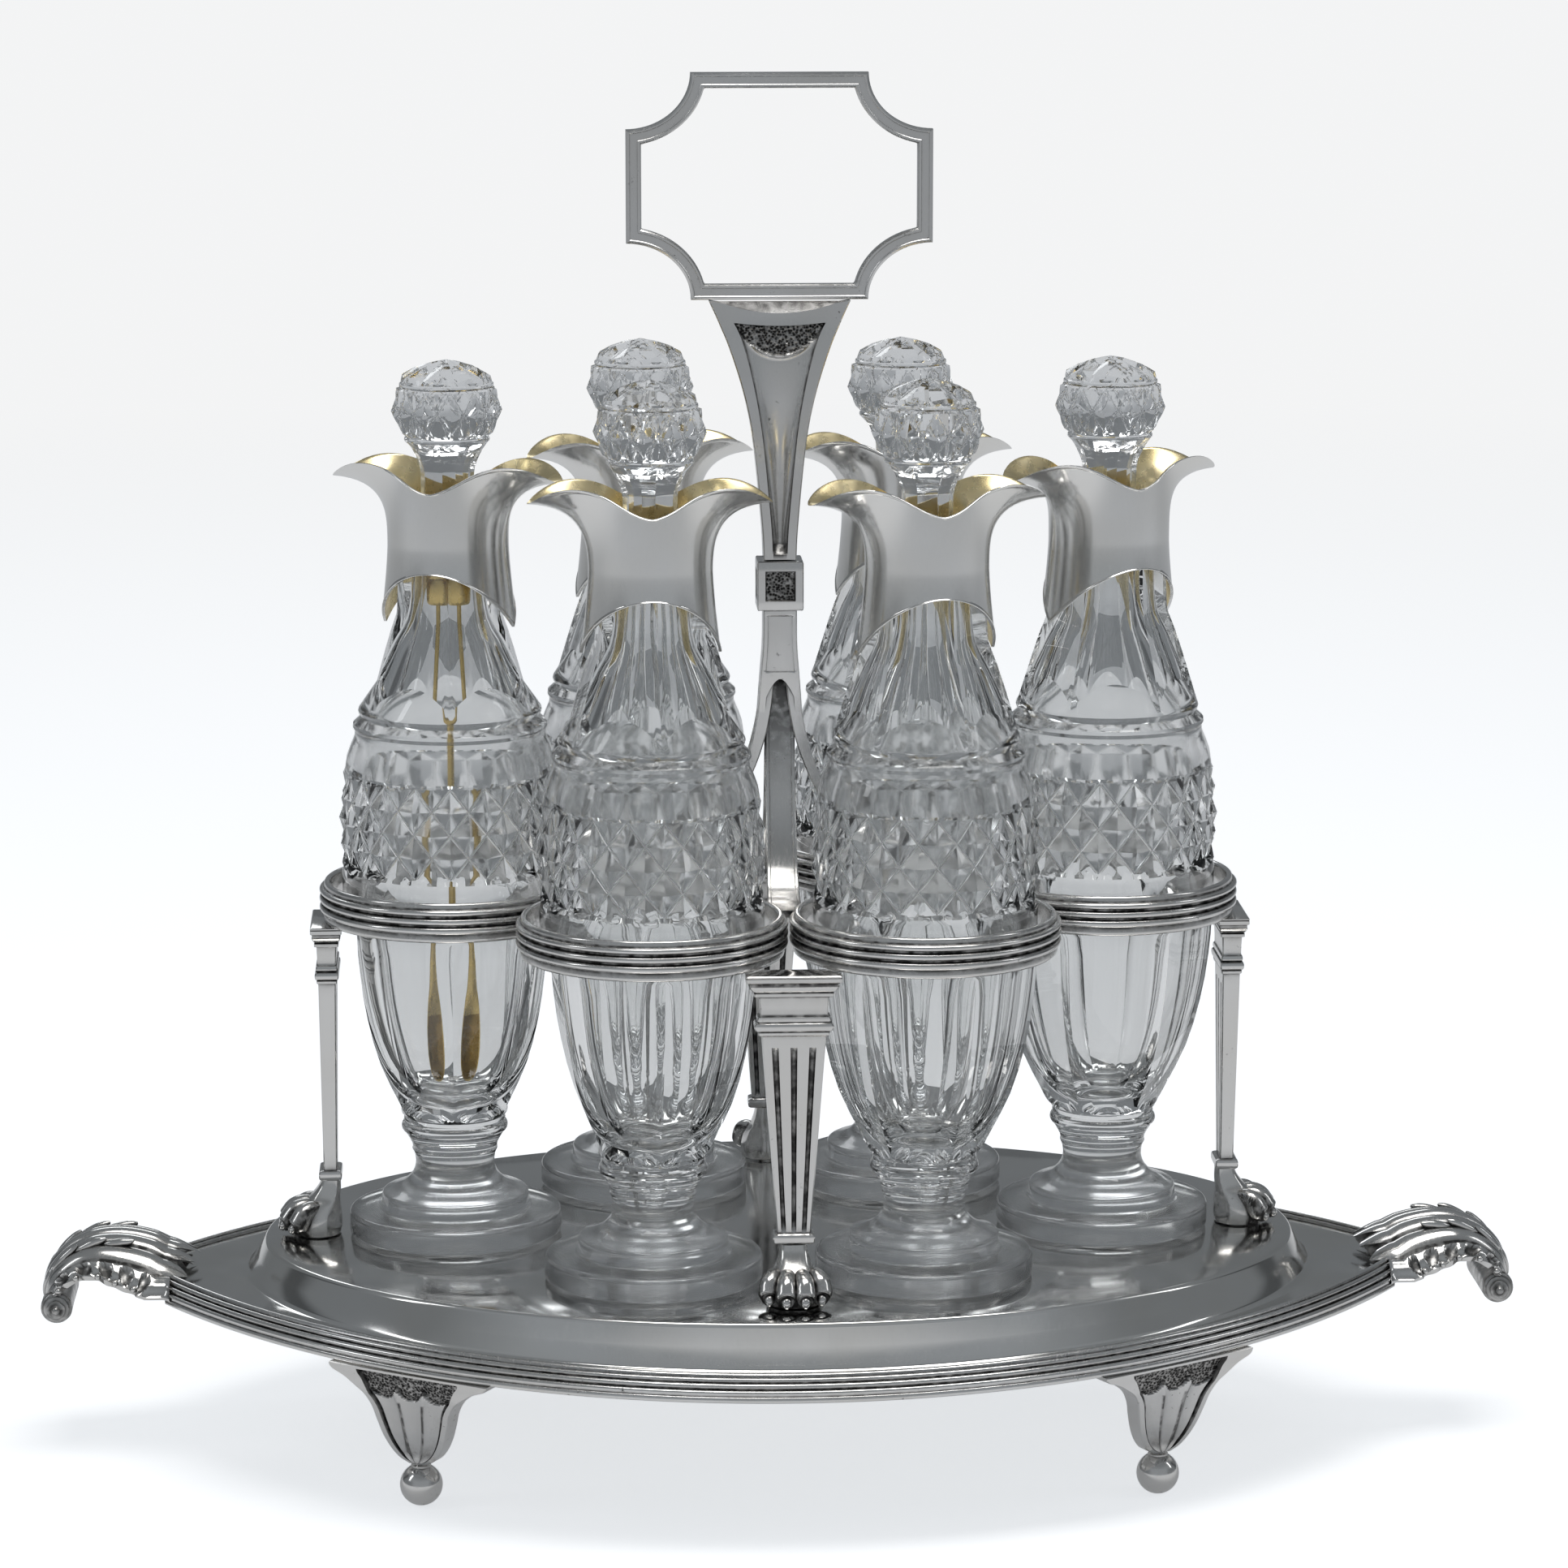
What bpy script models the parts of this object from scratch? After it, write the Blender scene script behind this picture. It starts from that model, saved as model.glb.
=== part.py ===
"""Cruet set: a boat-shaped silver stand on four ball feet, with six lift-out cut-glass bottles.

Run with: blender --background --python part.py
Sizes are in millimetres and become metres as each mesh is made. The origin is on the surface that the
stand rests on, under its middle. +X runs along the tray, -Y is its front and +Z is up.
"""

import math

import bmesh
import bpy
from mathutils import Matrix, Vector

MM = 0.001
GAP = 0.3  # left between pieces that touch

# Tray: its outline is two arcs that cross at a point at each end.
TRAY_ARC = 191.0
TRAY_ARC_SHIFT = 91.0
TRAY_TIP_X = math.sqrt(TRAY_ARC**2 - TRAY_ARC_SHIFT**2)
RIM_WIDTH = 7.0
RIM_END_X = 156.0
RIM_BASE_Z = 38.0
FLOOR_Z = 43.6
END_RISE = 4.0  # how far the floor has risen at the tips
SHEET = 1.4
DECK_Z = 54.5
DECK_HALF = (131.0, 88.0)
DECK_BASE_HALF = (136.0, 89.3)

# Ring frame: six rings that touch their neighbours.
RING_RADIUS = 33.4
RING_BORE = 30.6
RING_Z = (136.7, 146.7)
RING_PITCH = 2 * RING_RADIUS + GAP
ROW_Y = 45.6
INNER_X = RING_PITCH / 2
OUTER_X = INNER_X + math.sqrt(RING_PITCH**2 - ROW_Y**2)
# Each bottle's place and how far it is turned from having its lips along X.
BOTTLES = {
    "left": (-OUTER_X, 0, -18),
    "front_left": (-INNER_X, -ROW_Y, 0),
    "front_right": (INNER_X, -ROW_Y, 12),
    "right": (OUTER_X, 0, 25),
    "rear_left": (-INNER_X, ROW_Y, 12),
    "rear_right": (INNER_X, ROW_Y, 12),
}

# Legs: the direction that each one faces, and how far out its plate stands.
LEGS = {"front": (-90, 67.8), "right": (0, 114.4), "rear": (90, 67.8), "left": (180, 114.4)}
LEG_TOP = RING_Z[0] - GAP
ANKLE_Z = 69.0
STUD_RADIUS = 2.0
NUT_RADIUS = 4.2
NUT_HEIGHT = 3.2

FOOT_CENTRE = (93.0, 73.0)  # under the rim, at the top of a foot
BALL_CENTRE = (91.5, 55.2)
BALL_RADIUS = 5.3
BALL_FLAT_Z = 5.1  # the ball's centre stands this high, which leaves a small flat underneath

BOSS_HALF = 5.8
BOSS_Z = (215.0, 227.4)
HANDLE_Z = (292.5, 348.5)
HANDLE_HALF_TOP = 22.0
HANDLE_HALF_SIDE = 38.0
HANDLE_SIDE_HALF_HEIGHT = 14.0
HANDLE_BAR = 3.8

SILVER = ("silver", (0.66, 0.66, 0.65), 0.2, 1.0, 0.0)
GLASS = ("cut_glass", (0.86, 0.89, 0.9), 0.02, 0.0, 1.0)
GILT = ("silver_gilt", (0.75, 0.6, 0.33), 0.25, 1.0, 0.0)


def clear_scene():
    for thing in list(bpy.data.objects):
        bpy.data.objects.remove(thing)


def new_collection(name, hidden):
    collection = bpy.data.collections.new(name)
    collection.hide_render = hidden
    bpy.context.scene.collection.children.link(collection)
    return collection


def principled(name, colour, roughness, metallic, transmission):
    material = bpy.data.materials.new(name)
    material.use_nodes = True
    shader = material.node_tree.nodes["Principled BSDF"]
    shader.inputs["Base Color"].default_value = (*colour, 1)
    shader.inputs["Roughness"].default_value = roughness
    shader.inputs["Metallic"].default_value = metallic
    shader.inputs["Transmission Weight"].default_value = transmission
    return material


def add_piece(name, points, edges, faces, material, parent=None, collection=None):
    """A mesh object from points in millimetres, with its faces turned outwards."""
    mesh = bpy.data.meshes.new(name)
    mesh.from_pydata([Vector(p) * MM for p in points], edges, faces)
    if faces:
        shape = bmesh.new()
        shape.from_mesh(mesh)
        bmesh.ops.recalc_face_normals(shape, faces=shape.faces)
        shape.to_mesh(mesh)
        shape.free()
    mesh.materials.append(material)
    piece = bpy.data.objects.new(name, mesh)
    piece.parent = parent
    (collection or parts).objects.link(piece)
    return piece


def turned(name, outline, material, steps, parent=None, ring=False):
    """A solid of revolution about its own Z. The outline's outer side runs downwards."""
    edges = [(i, i + 1) for i in range(len(outline) - 1)]
    if ring:
        edges.append((len(outline) - 1, 0))
    piece = add_piece(name, [(r, 0, z) for r, z in outline], edges, [], material, parent)
    turn = piece.modifiers.new("Turn", "SCREW")
    turn.steps = steps
    turn.render_steps = steps
    turn.use_merge_vertices = True
    turn.merge_threshold = 1e-5
    return piece


def loft(name, sections, material, parent=None, collection=None):
    """A closed solid through sections, which are loops with the same number of points."""
    count = len(sections[0])
    faces = [list(range(count))]
    for low in range(0, count * (len(sections) - 1), count):
        for i in range(count):
            j = (i + 1) % count
            faces.append([low + i, low + j, low + count + j, low + count + i])
    faces.append([count * (len(sections) - 1) + i for i in range(count)])
    points = [point for section in sections for point in section]
    return add_piece(name, points, [], faces, material, parent, collection)


def box_section(z, half_width, half_depth, out=0.0):
    """A level rectangle: X is its width and `out` moves it along Y."""
    return [
        (-half_width, out - half_depth, z),
        (half_width, out - half_depth, z),
        (half_width, out + half_depth, z),
        (-half_width, out + half_depth, z),
    ]


def oval_section(z, half_width, half_depth, out=0.0, count=12):
    angles = [2 * math.pi * i / count for i in range(count)]
    return [(half_width * math.cos(a), out + half_depth * math.sin(a), z) for a in angles]


def boolean(piece, operation, other):
    modifier = piece.modifiers.new(operation.title(), "BOOLEAN")
    modifier.operation = operation
    modifier.solver = "EXACT"
    modifier.object = other


def cylinder_cutter(name, radius, depth, matrix, segments=24):
    """A cylinder along its own Z, for a Boolean."""
    mesh = bpy.data.meshes.new(name)
    shape = bmesh.new()
    bmesh.ops.create_cone(
        shape, cap_ends=True, segments=segments, radius1=radius * MM, radius2=radius * MM, depth=depth * MM
    )
    shape.to_mesh(mesh)
    shape.free()
    cutter = bpy.data.objects.new(name, mesh)
    cutter.matrix_world = Matrix.Translation(matrix.translation * MM) @ matrix.to_3x3().to_4x4()
    hide_helper(cutter)
    cutters.objects.link(cutter)
    return cutter


def hide_helper(helper):
    helper.hide_render = True
    helper.display_type = "WIRE"


def rise(x):
    """How much higher the tray stands at this distance from its middle."""
    return END_RISE * (x / TRAY_TIP_X) ** 2


def empty_at(name, x, y, z, turn):
    empty = bpy.data.objects.new(name, None)
    empty.location = Vector((x, y, z)) * MM
    empty.rotation_euler.z = math.radians(turn)
    parts.objects.link(empty)
    bpy.context.view_layer.update()
    return empty


def leg_place(angle, distance):
    """Where a leg stands: its own -Y points outwards."""
    a = math.radians(angle)
    return distance * math.cos(a), distance * math.sin(a), angle + 90


def make_tray():
    """One sheet: a floor that follows the rim, with the deck raised out of it."""
    count = 48
    inset = RIM_WIDTH + 2 * GAP
    tip_x = math.sqrt((TRAY_ARC - inset) ** 2 - TRAY_ARC_SHIFT**2)
    loops = [[], [], []]
    for i in range(count):
        a = 2 * math.pi * i / count
        side = math.copysign(1, math.sin(a)) if i % (count // 2) else 0
        x = tip_x * math.cos(a)
        half_width = math.sqrt((TRAY_ARC - inset) ** 2 - x**2) - TRAY_ARC_SHIFT
        loops[0].append((x, side * half_width, FLOOR_Z + rise(x)))
        base_x = DECK_BASE_HALF[0] * math.cos(a)
        loops[1].append((base_x, DECK_BASE_HALF[1] * math.sin(a), FLOOR_Z + rise(base_x)))
        loops[2].append((DECK_HALF[0] * math.cos(a), DECK_HALF[1] * math.sin(a), DECK_Z))
    faces = [[2 * count + i for i in range(count)]]
    for low in (0, count):
        for i in range(count):
            j = (i + 1) % count
            faces.append([low + i, low + j, low + count + j, low + count + i])
    tray = add_piece("tray", sum(loops, []), [], faces, silver)
    if tray.data.polygons[0].normal.z < 0:
        tray.data.flip_normals()
    sheet = tray.modifiers.new("Sheet", "SOLIDIFY")
    sheet.thickness = SHEET * MM
    sheet.offset = -1
    sheet.use_even_offset = True
    for name, (angle, distance) in LEGS.items():
        x, y, _ = leg_place(angle, distance)
        place = Matrix.Translation((x, y, DECK_Z))
        hole = cylinder_cutter(f"stud_hole_{name}", STUD_RADIUS + GAP, 10, place, segments=16)
        boolean(tray, "DIFFERENCE", hole)


def make_rim(name, side):
    """A length of reeded edge that follows one of the tray's two arcs."""
    shape = [(0.6, 0.0), (0.0, 1.6), (0.5, 3.6), (3.0, 4.6), (7.0, 5.4), (7.0, 4.0), (5.0, 1.2)]
    steps = 20
    sections = []
    for i in range(steps + 1):
        x = RIM_END_X * math.sin(math.pi / 2 * (2 * i / steps - 1))
        section = []
        for inset, height in shape:
            y = side * (math.sqrt((TRAY_ARC - inset) ** 2 - x**2) - TRAY_ARC_SHIFT)
            section.append((x, y, RIM_BASE_Z + rise(x) + height))
        sections.append(section)
    loft(name, sections, silver)


def make_leaf_handle(name, side):
    """An arched leaf that leaves the tray's tip, curls down and ends in a roll with pointed ends."""
    # Each point: X and Z of the ridge, the half width, how far the edges hang below it.
    ridge = [
        (156.4, 51.6, 21.0, 7.6),
        (160.0, 53.4, 19.6, 7.2),
        (165.0, 54.6, 18.4, 6.4),
        (170.0, 54.9, 17.4, 5.4),
        (175.0, 54.1, 16.4, 4.2),
        (180.0, 51.6, 15.4, 3.0),
        (184.0, 47.6, 14.4, 2.0),
        (186.6, 43.0, 13.4, 1.4),
        (187.0, 39.0, 12.6, 1.0),
    ]
    thickness = 1.8
    across = [-1.0, -0.82, -0.5, 0.0, 0.5, 0.82, 1.0]
    sections = []
    for i, (x, z, half_width, hang) in enumerate(ridge):
        before = ridge[max(i - 1, 0)]
        after = ridge[min(i + 1, len(ridge) - 1)]
        slope = math.atan2(after[1] - before[1], after[0] - before[0])
        down = (math.sin(slope), -math.cos(slope))
        section = []
        for skin, line in ((0.0, across), (thickness, across[::-1])):
            for u in line:
                depth = skin + hang * u * u
                width = half_width - (skin if abs(u) == 1 else 0)
                section.append((side * (x + down[0] * depth), u * width, z + down[1] * depth))
        sections.append(section)
    leaf = loft(name, sections, silver)
    roll_x, roll_z = 184.4, 38.4
    angles = [2 * math.pi * k / 12 for k in range(12)]
    roll_sections = []
    for y, radius in ((-15.6, 0.7), (-14.4, 1.9), (-12.2, 3.4), (12.2, 3.4), (14.4, 1.9), (15.6, 0.7)):
        circle = [(side * (roll_x + radius * math.cos(a)), y, roll_z + radius * math.sin(a)) for a in angles]
        roll_sections.append(circle)
    roll = loft(name + "_roll", roll_sections, silver, collection=cutters)
    hide_helper(roll)
    boolean(leaf, "UNION", roll)


def make_foot(name, x_side, y_side):
    """A bracket that narrows from the rim to a rounded toe, set square to the rim's curve."""
    # Height, half width, and how far the section has come from the rim (0) to the ball (1).
    sizes = [
        (37.6, 22.0, 0.0),
        (36.4, 21.6, 0.04),
        (35.0, 17.0, 0.10),
        (32.5, 13.2, 0.18),
        (28.5, 11.1, 0.33),
        (24.0, 10.0, 0.49),
        (19.5, 8.8, 0.64),
        (15.5, 7.2, 0.79),
        (12.6, 5.0, 0.90),
        (10.9, 2.0, 0.97),
    ]
    turn = math.asin(FOOT_CENTRE[0] / TRAY_ARC)
    along = Vector((math.cos(turn), -math.sin(turn), 0))
    outwards = Vector((math.sin(turn), math.cos(turn), 0))
    sections = []
    for z, half_width, share in sizes:
        x, y = (a + (b - a) * share for a, b in zip(FOOT_CENTRE, BALL_CENTRE))
        half_depth = 2.0 + 1.2 * (z - 11) / 27
        section = []
        for w, d in ((-1, -1), (1, -1), (1, 1), (-1, 1)):
            point = Vector((x, y, z)) + along * half_width * w + outwards * half_depth * d
            section.append((point.x * x_side, point.y * y_side, z))
        sections.append(section)
    loft(f"foot_{name}", sections, silver)
    ball = bpy.data.meshes.new(f"foot_ball_{name}")
    shape = bmesh.new()
    bmesh.ops.create_uvsphere(shape, u_segments=12, v_segments=8, radius=BALL_RADIUS * MM)
    bmesh.ops.bisect_plane(
        shape, geom=shape.verts[:] + shape.edges[:] + shape.faces[:], plane_co=(0, 0, -BALL_FLAT_Z * MM),
        plane_no=(0, 0, -1), clear_outer=True,
    )
    bmesh.ops.holes_fill(shape, edges=[edge for edge in shape.edges if edge.is_boundary])
    bmesh.ops.recalc_face_normals(shape, faces=shape.faces)
    shape.to_mesh(ball)
    shape.free()
    ball.materials.append(silver)
    piece = bpy.data.objects.new(f"foot_ball_{name}", ball)
    piece.location = Vector((BALL_CENTRE[0] * x_side, BALL_CENTRE[1] * y_side, BALL_FLAT_Z)) * MM
    parts.objects.link(piece)


def make_ring(name, x, y):
    """A band with three reeds outside."""
    low, high = RING_Z
    middle = (low + high) / 2
    outline = [
        (RING_BORE, high - 0.6),
        (RING_BORE + 1.2, high),
        (RING_RADIUS - 0.4, high - 0.9),
        (RING_RADIUS, middle),
        (RING_RADIUS - 0.4, low + 0.9),
        (RING_BORE + 1.2, low),
        (RING_BORE, low + 0.6),
    ]
    ring = turned(f"ring_{name}", outline, silver, 20, ring=True)
    ring.location = Vector((x, y, 0)) * MM


def make_leg(name, angle, distance):
    """A tapered pilaster with a moulded capital, a cast paw with its stud, and the stud's nut."""
    x, y, turn = leg_place(angle, distance)
    place = empty_at(f"leg_place_{name}", x, y, 0, turn)
    pilaster = [
        (LEG_TOP, 11.7, 4.0),
        (LEG_TOP - 2.2, 11.7, 4.0),
        (LEG_TOP - 4.6, 9.8, 3.1),
        (LEG_TOP - 9.6, 9.0, 2.7),
        (LEG_TOP - 10.2, 9.6, 3.3),
        (LEG_TOP - 14.4, 9.4, 3.2),
        (LEG_TOP - 15.0, 8.3, 2.2),
        (ANKLE_Z + 2.9, 4.2, 1.7),
        (ANKLE_Z + 2.6, 5.0, 2.8),
        (ANKLE_Z + GAP, 5.0, 2.8),
    ]
    loft(f"leg_{name}", [box_section(z, w, d) for z, w, d in pilaster], silver, place)
    # Height, half width, half depth, and how far out it has moved.
    foot = [
        (ANKLE_Z, 3.4, 2.6, 0.0),
        (64.0, 3.6, 3.0, 0.6),
        (61.0, 5.6, 4.6, 2.2),
        (58.4, 7.8, 6.6, 4.2),
        (56.2, 8.6, 7.6, 5.2),
        (DECK_Z + GAP, 8.2, 7.2, 5.2),
    ]
    paw = loft(f"paw_{name}", [oval_section(z, w, d, -out) for z, w, d, out in foot], silver, place)
    nut_high = DECK_Z - SHEET - GAP
    nut_low = nut_high - NUT_HEIGHT
    stud_low = nut_low - 1.7
    stud_high = DECK_Z + 2
    middle = Matrix.Translation((x, y, (stud_low + stud_high) / 2))
    stud = cylinder_cutter(f"stud_{name}", STUD_RADIUS, stud_high - stud_low, middle, 12)
    boolean(paw, "UNION", stud)
    outline = [(0, nut_high), (NUT_RADIUS, nut_high), (NUT_RADIUS, nut_low), (0, nut_low)]
    nut = turned(f"nut_{name}", outline, silver, 6, place)
    bore = cylinder_cutter(f"nut_bore_{name}", STUD_RADIUS + 0.2, 20, middle, 12)
    boolean(nut, "DIFFERENCE", bore)


def arm_sections(angle, start, reach, widths):
    """Sections along a quarter ellipse that leaves the stem downwards and arrives level at the rings."""
    top_z, end_z = 200.0, 142.5
    half_thickness = 1.1
    a = math.radians(angle)
    outwards = Vector((math.cos(a), math.sin(a), 0))
    across = Vector((-math.sin(a), math.cos(a), 0))
    sections = []
    steps = 9
    for i in range(steps + 1):
        t = math.pi / 2 * i / steps
        out = start + (reach - start) * (1 - math.cos(t))
        centre = outwards * out + Vector((0, 0, top_z - (top_z - end_z) * math.sin(t)))
        along = outwards * (reach - start) * math.sin(t) - Vector((0, 0, (top_z - end_z) * math.cos(t)))
        normal = along.normalized().cross(across)
        half_width = widths[0] + (widths[1] - widths[0]) * (i / steps) ** 3
        corners = ((-1, -1), (1, -1), (1, 1), (-1, 1))
        sections.append([centre + across * half_width * w + normal * half_thickness * n for w, n in corners])
    return sections


def make_column():
    """A stem that splits into four arms: the front and rear ones end between two rings, and the others
    against the end rings."""
    stem = [
        (BOSS_Z[0] - GAP, 4.2, 4.2),
        (206.0, 4.3, 4.2),
        (198.0, 4.9, 4.0),
        (190.0, 5.4, 3.4),
    ]
    column = loft("column", [box_section(z, w, d) for z, w, d in stem], silver)
    side_reach = OUTER_X - RING_RADIUS - GAP
    arms = {
        "front": (-90, 2.2, 28.2, (3.7, 4.4)),
        "rear": (90, 2.2, 28.2, (3.7, 4.4)),
        "left": (180, 3.9, side_reach, (3.4, 3.9)),
        "right": (0, 3.9, side_reach, (3.4, 3.9)),
    }
    for name, (angle, start, reach, widths) in arms.items():
        arm = loft(f"arm_{name}", arm_sections(angle, start, reach, widths), silver, collection=cutters)
        hide_helper(arm)
        boolean(column, "UNION", arm)


def make_boss():
    width = 2 * BOSS_HALF * MM
    height = (BOSS_Z[1] - BOSS_Z[0]) * MM
    mesh = bpy.data.meshes.new("column_boss")
    shape = bmesh.new()
    bmesh.ops.create_cube(shape, size=1, matrix=Matrix.Diagonal((width, width, height, 1)))
    shape.to_mesh(mesh)
    shape.free()
    mesh.materials.append(silver)
    boss = bpy.data.objects.new("column_boss", mesh)
    boss.location.z = sum(BOSS_Z) / 2 * MM
    edge = boss.modifiers.new("Edges", "BEVEL")
    edge.width = 0.8 * MM
    edge.segments = 1
    parts.objects.link(boss)


def make_handle_bracket():
    """A plate that flares up from the boss to the handle's lower bar, with a scooped top edge."""
    # Height, half width, half depth.
    sizes = [
        (BOSS_Z[1] + GAP, 4.1, 4.0),
        (236.0, 4.5, 3.9),
        (252.0, 6.0, 3.6),
        (262.0, 7.4, 3.3),
        (271.0, 9.5, 3.0),
        (280.0, 12.4, 2.6),
        (286.0, 14.8, 2.3),
        (HANDLE_Z[0] - GAP, 17.6, 2.1),
    ]
    bracket = loft("handle_bracket", [box_section(z, w, d) for z, w, d in sizes], silver)
    half_chord, depth = 15.4, 3.0
    radius = (half_chord**2 + depth**2) / (2 * depth)
    centre = Matrix.Translation((0, 0, HANDLE_Z[0] - GAP - depth + radius))
    scoop = cylinder_cutter("bracket_scoop", radius, 12, centre @ Matrix.Rotation(math.pi / 2, 4, "X"), 96)
    boolean(bracket, "DIFFERENCE", scoop)


def handle_outline(inset):
    """Half widths and heights around the handle, from the middle, with hollowed corners."""
    half_height = (HANDLE_Z[1] - HANDLE_Z[0]) / 2
    corner_x = HANDLE_HALF_SIDE
    corner_z = half_height
    radius_x = HANDLE_HALF_SIDE - HANDLE_HALF_TOP + inset
    radius_z = half_height - HANDLE_SIDE_HALF_HEIGHT + inset
    quarter = []
    for i in range(7):
        a = math.pi / 2 * i / 6
        x = min(corner_x - inset, corner_x - radius_x * math.sin(a))
        z = min(corner_z - inset, corner_z - radius_z * math.cos(a))
        quarter.append((x, z))
    quarter[0] = (corner_x - inset, quarter[0][1])
    quarter[-1] = (quarter[-1][0], corner_z - inset)
    upper = quarter + [(-x, z) for x, z in reversed(quarter)]
    return upper + [(-x, -z) for x, z in upper]


def make_handle_frame():
    """A flat outline with a window, filled and given its thickness, then stood upright."""
    curve = bpy.data.curves.new("handle_frame_outline", "CURVE")
    curve.dimensions = "2D"
    curve.fill_mode = "BOTH"
    curve.extrude = HANDLE_BAR / 2 * MM
    for inset in (0.0, HANDLE_BAR):
        outline = handle_outline(inset)
        spline = curve.splines.new("POLY")
        spline.points.add(len(outline) - 1)
        spline.use_cyclic_u = True
        for point, (x, z) in zip(spline.points, outline):
            point.co = (x * MM, z * MM, 0, 1)
    flat = bpy.data.objects.new("handle_frame_outline", curve)
    parts.objects.link(flat)
    flat.rotation_euler.x = math.pi / 2
    flat.location.z = sum(HANDLE_Z) / 2 * MM
    bpy.context.view_layer.update()
    mesh = bpy.data.meshes.new_from_object(flat.evaluated_get(bpy.context.evaluated_depsgraph_get()))
    mesh.name = "handle_frame"
    shape = bmesh.new()
    shape.from_mesh(mesh)
    bmesh.ops.remove_doubles(shape, verts=shape.verts, dist=1e-6)
    bmesh.ops.recalc_face_normals(shape, faces=shape.faces)
    shape.to_mesh(mesh)
    shape.free()
    mesh.materials.append(silver)
    frame = bpy.data.objects.new("handle_frame", mesh)
    frame.matrix_world = flat.matrix_world
    parts.objects.link(frame)
    bpy.data.objects.remove(flat)


# The bottle's glass: (radius, height) up the inside, over the neck and down the outside.
NECK_BORE = 7.2
GLASS_RIM_Z = 240.0
BOTTLE_INSIDE = [
    (0, 89.5),
    (9.5, 91.5),
    (16.5, 101),
    (21.0, 115),
    (23.8, 136),
    (23.0, 168),
    (15.6, 199),
    (NECK_BORE - 0.1, 217),
    (NECK_BORE, GLASS_RIM_Z),
]
BOTTLE_OUTSIDE = [
    (13.4, GLASS_RIM_Z),
    (14.2, 236),
    (14.4, 227),
    (14.9, 214),
    (17.2, 208.5),
    (22.9, 190),
    (24.3, 186.5),
    (26.4, 176),
    (28.1, 163),
    (27.6, 150),
    (27.5, 137),
    (25.9, 119),
    (22.6, 105.5),
    (14.0, 86.4),
    (13.2, 81),
    (10.2, 75),
    (12.0, 69),
    (18.6, 65),
    (18.8, 61.6),
    (27.0, 61.2),
    (27.0, DECK_Z + GAP),
    (0, DECK_Z + GAP),
]
STOPPER = [
    (0, 278),
    (9.3, 274.5),
    (11.9, 272),
    (13.2, 268),
    (13.7, 264.5),
    (12.7, 259.9),
    (8.3, 255),
    (NECK_BORE - 0.3, 249),
    (NECK_BORE - 0.5, 241),
    (NECK_BORE - 0.8, 227),
    (0, 227),
]


# The neck mount: a sleeve with an arched lower edge and a rim that spreads into two lips.
MOUNT_LOW_Z = 211.5
MOUNT_ARCH = 14.5
MOUNT_RIM_Z = 246.0
LIP_RISE = 8.6
LIP_DROP = 5.4  # the very tip of a lip turns down by this much
LIP_REACH = 13.7
MOUNT_RADIUS = 15.1
MOUNT_SHEET = 0.6


def mount_point(angle, height, inset):
    """A point of the neck mount. height runs from 0 at its lower edge to 1 at its rim. The lower edge is
    arched, lowest under the two lips, and the rim dips at front and back and spreads into the lips."""
    a = math.radians(angle)
    lip = abs(math.cos(a))
    bottom = MOUNT_LOW_Z + MOUNT_ARCH * abs(math.sin(a))
    top = MOUNT_RIM_Z + LIP_RISE * lip**1.5 - LIP_DROP * lip**14
    spread = LIP_REACH * lip**7
    z = bottom + (top - bottom) * height
    collar = MOUNT_RADIUS + 1.9 * max(0.0, (232.0 - z) / 20.0) ** 1.4
    flare = max(0.0, (height - 0.45) / 0.55) ** 2.6
    radius = collar + spread * flare - inset
    return radius * math.cos(a), radius * math.sin(a), z


def make_mount(name, parent):
    """A thin sleeve: its outer and inner skins are grids joined at both edges."""
    around = 16
    rows = (0.0, 0.35, 0.62, 0.84, 1.0)
    grid = []
    for height, inset in [(h, 0.0) for h in rows] + [(h, MOUNT_SHEET) for h in reversed(rows)]:
        grid.append([mount_point(360 * i / around, height, inset) for i in range(around)])
    faces = []
    for row in range(len(grid)):
        below, above = row * around, (row + 1) % len(grid) * around
        for i in range(around):
            j = (i + 1) % around
            faces.append([below + i, below + j, above + j, above + i])
    add_piece(f"mount_{name}", sum(grid, []), [], faces, silver, parent)


def make_bottle(name, x, y, turn):
    """A bottle, its mount and its stopper, about their shared axis."""
    place = empty_at(f"bottle_place_{name}", x, y, 0, turn)
    turned(f"bottle_{name}", BOTTLE_INSIDE + BOTTLE_OUTSIDE, glass, 16, place)
    make_mount(name, place)
    turned(f"stopper_{name}", STOPPER, glass, 10, place)
    return place


def make_spoon(parent):
    """A gilt ladle that hangs in a bottle from a socket under the stopper."""
    socket = [(0, 226.7), (5.0, 226.7), (5.2, 224), (4.6, 217), (0, 217)]
    turned("spoon_ferrule", socket, gilt, 12, parent)
    # Height, half width, half depth.
    ladle = [
        (216.7, 0.9, 0.9),
        (135.0, 0.9, 0.8),
        (120.0, 1.9, 0.7),
        (112.0, 2.6, 1.1),
        (104.0, 3.1, 1.7),
        (97.0, 2.9, 1.7),
        (93.6, 1.9, 1.1),
        (92.6, 0.8, 0.6),
    ]
    loft("spoon", [oval_section(z, w, d, count=8) for z, w, d in ladle], gilt, parent)


clear_scene()
parts = new_collection("cruet_set", hidden=False)
cutters = new_collection("cutters", hidden=True)
silver = principled(*SILVER)
glass = principled(*GLASS)
gilt = principled(*GILT)

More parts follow.
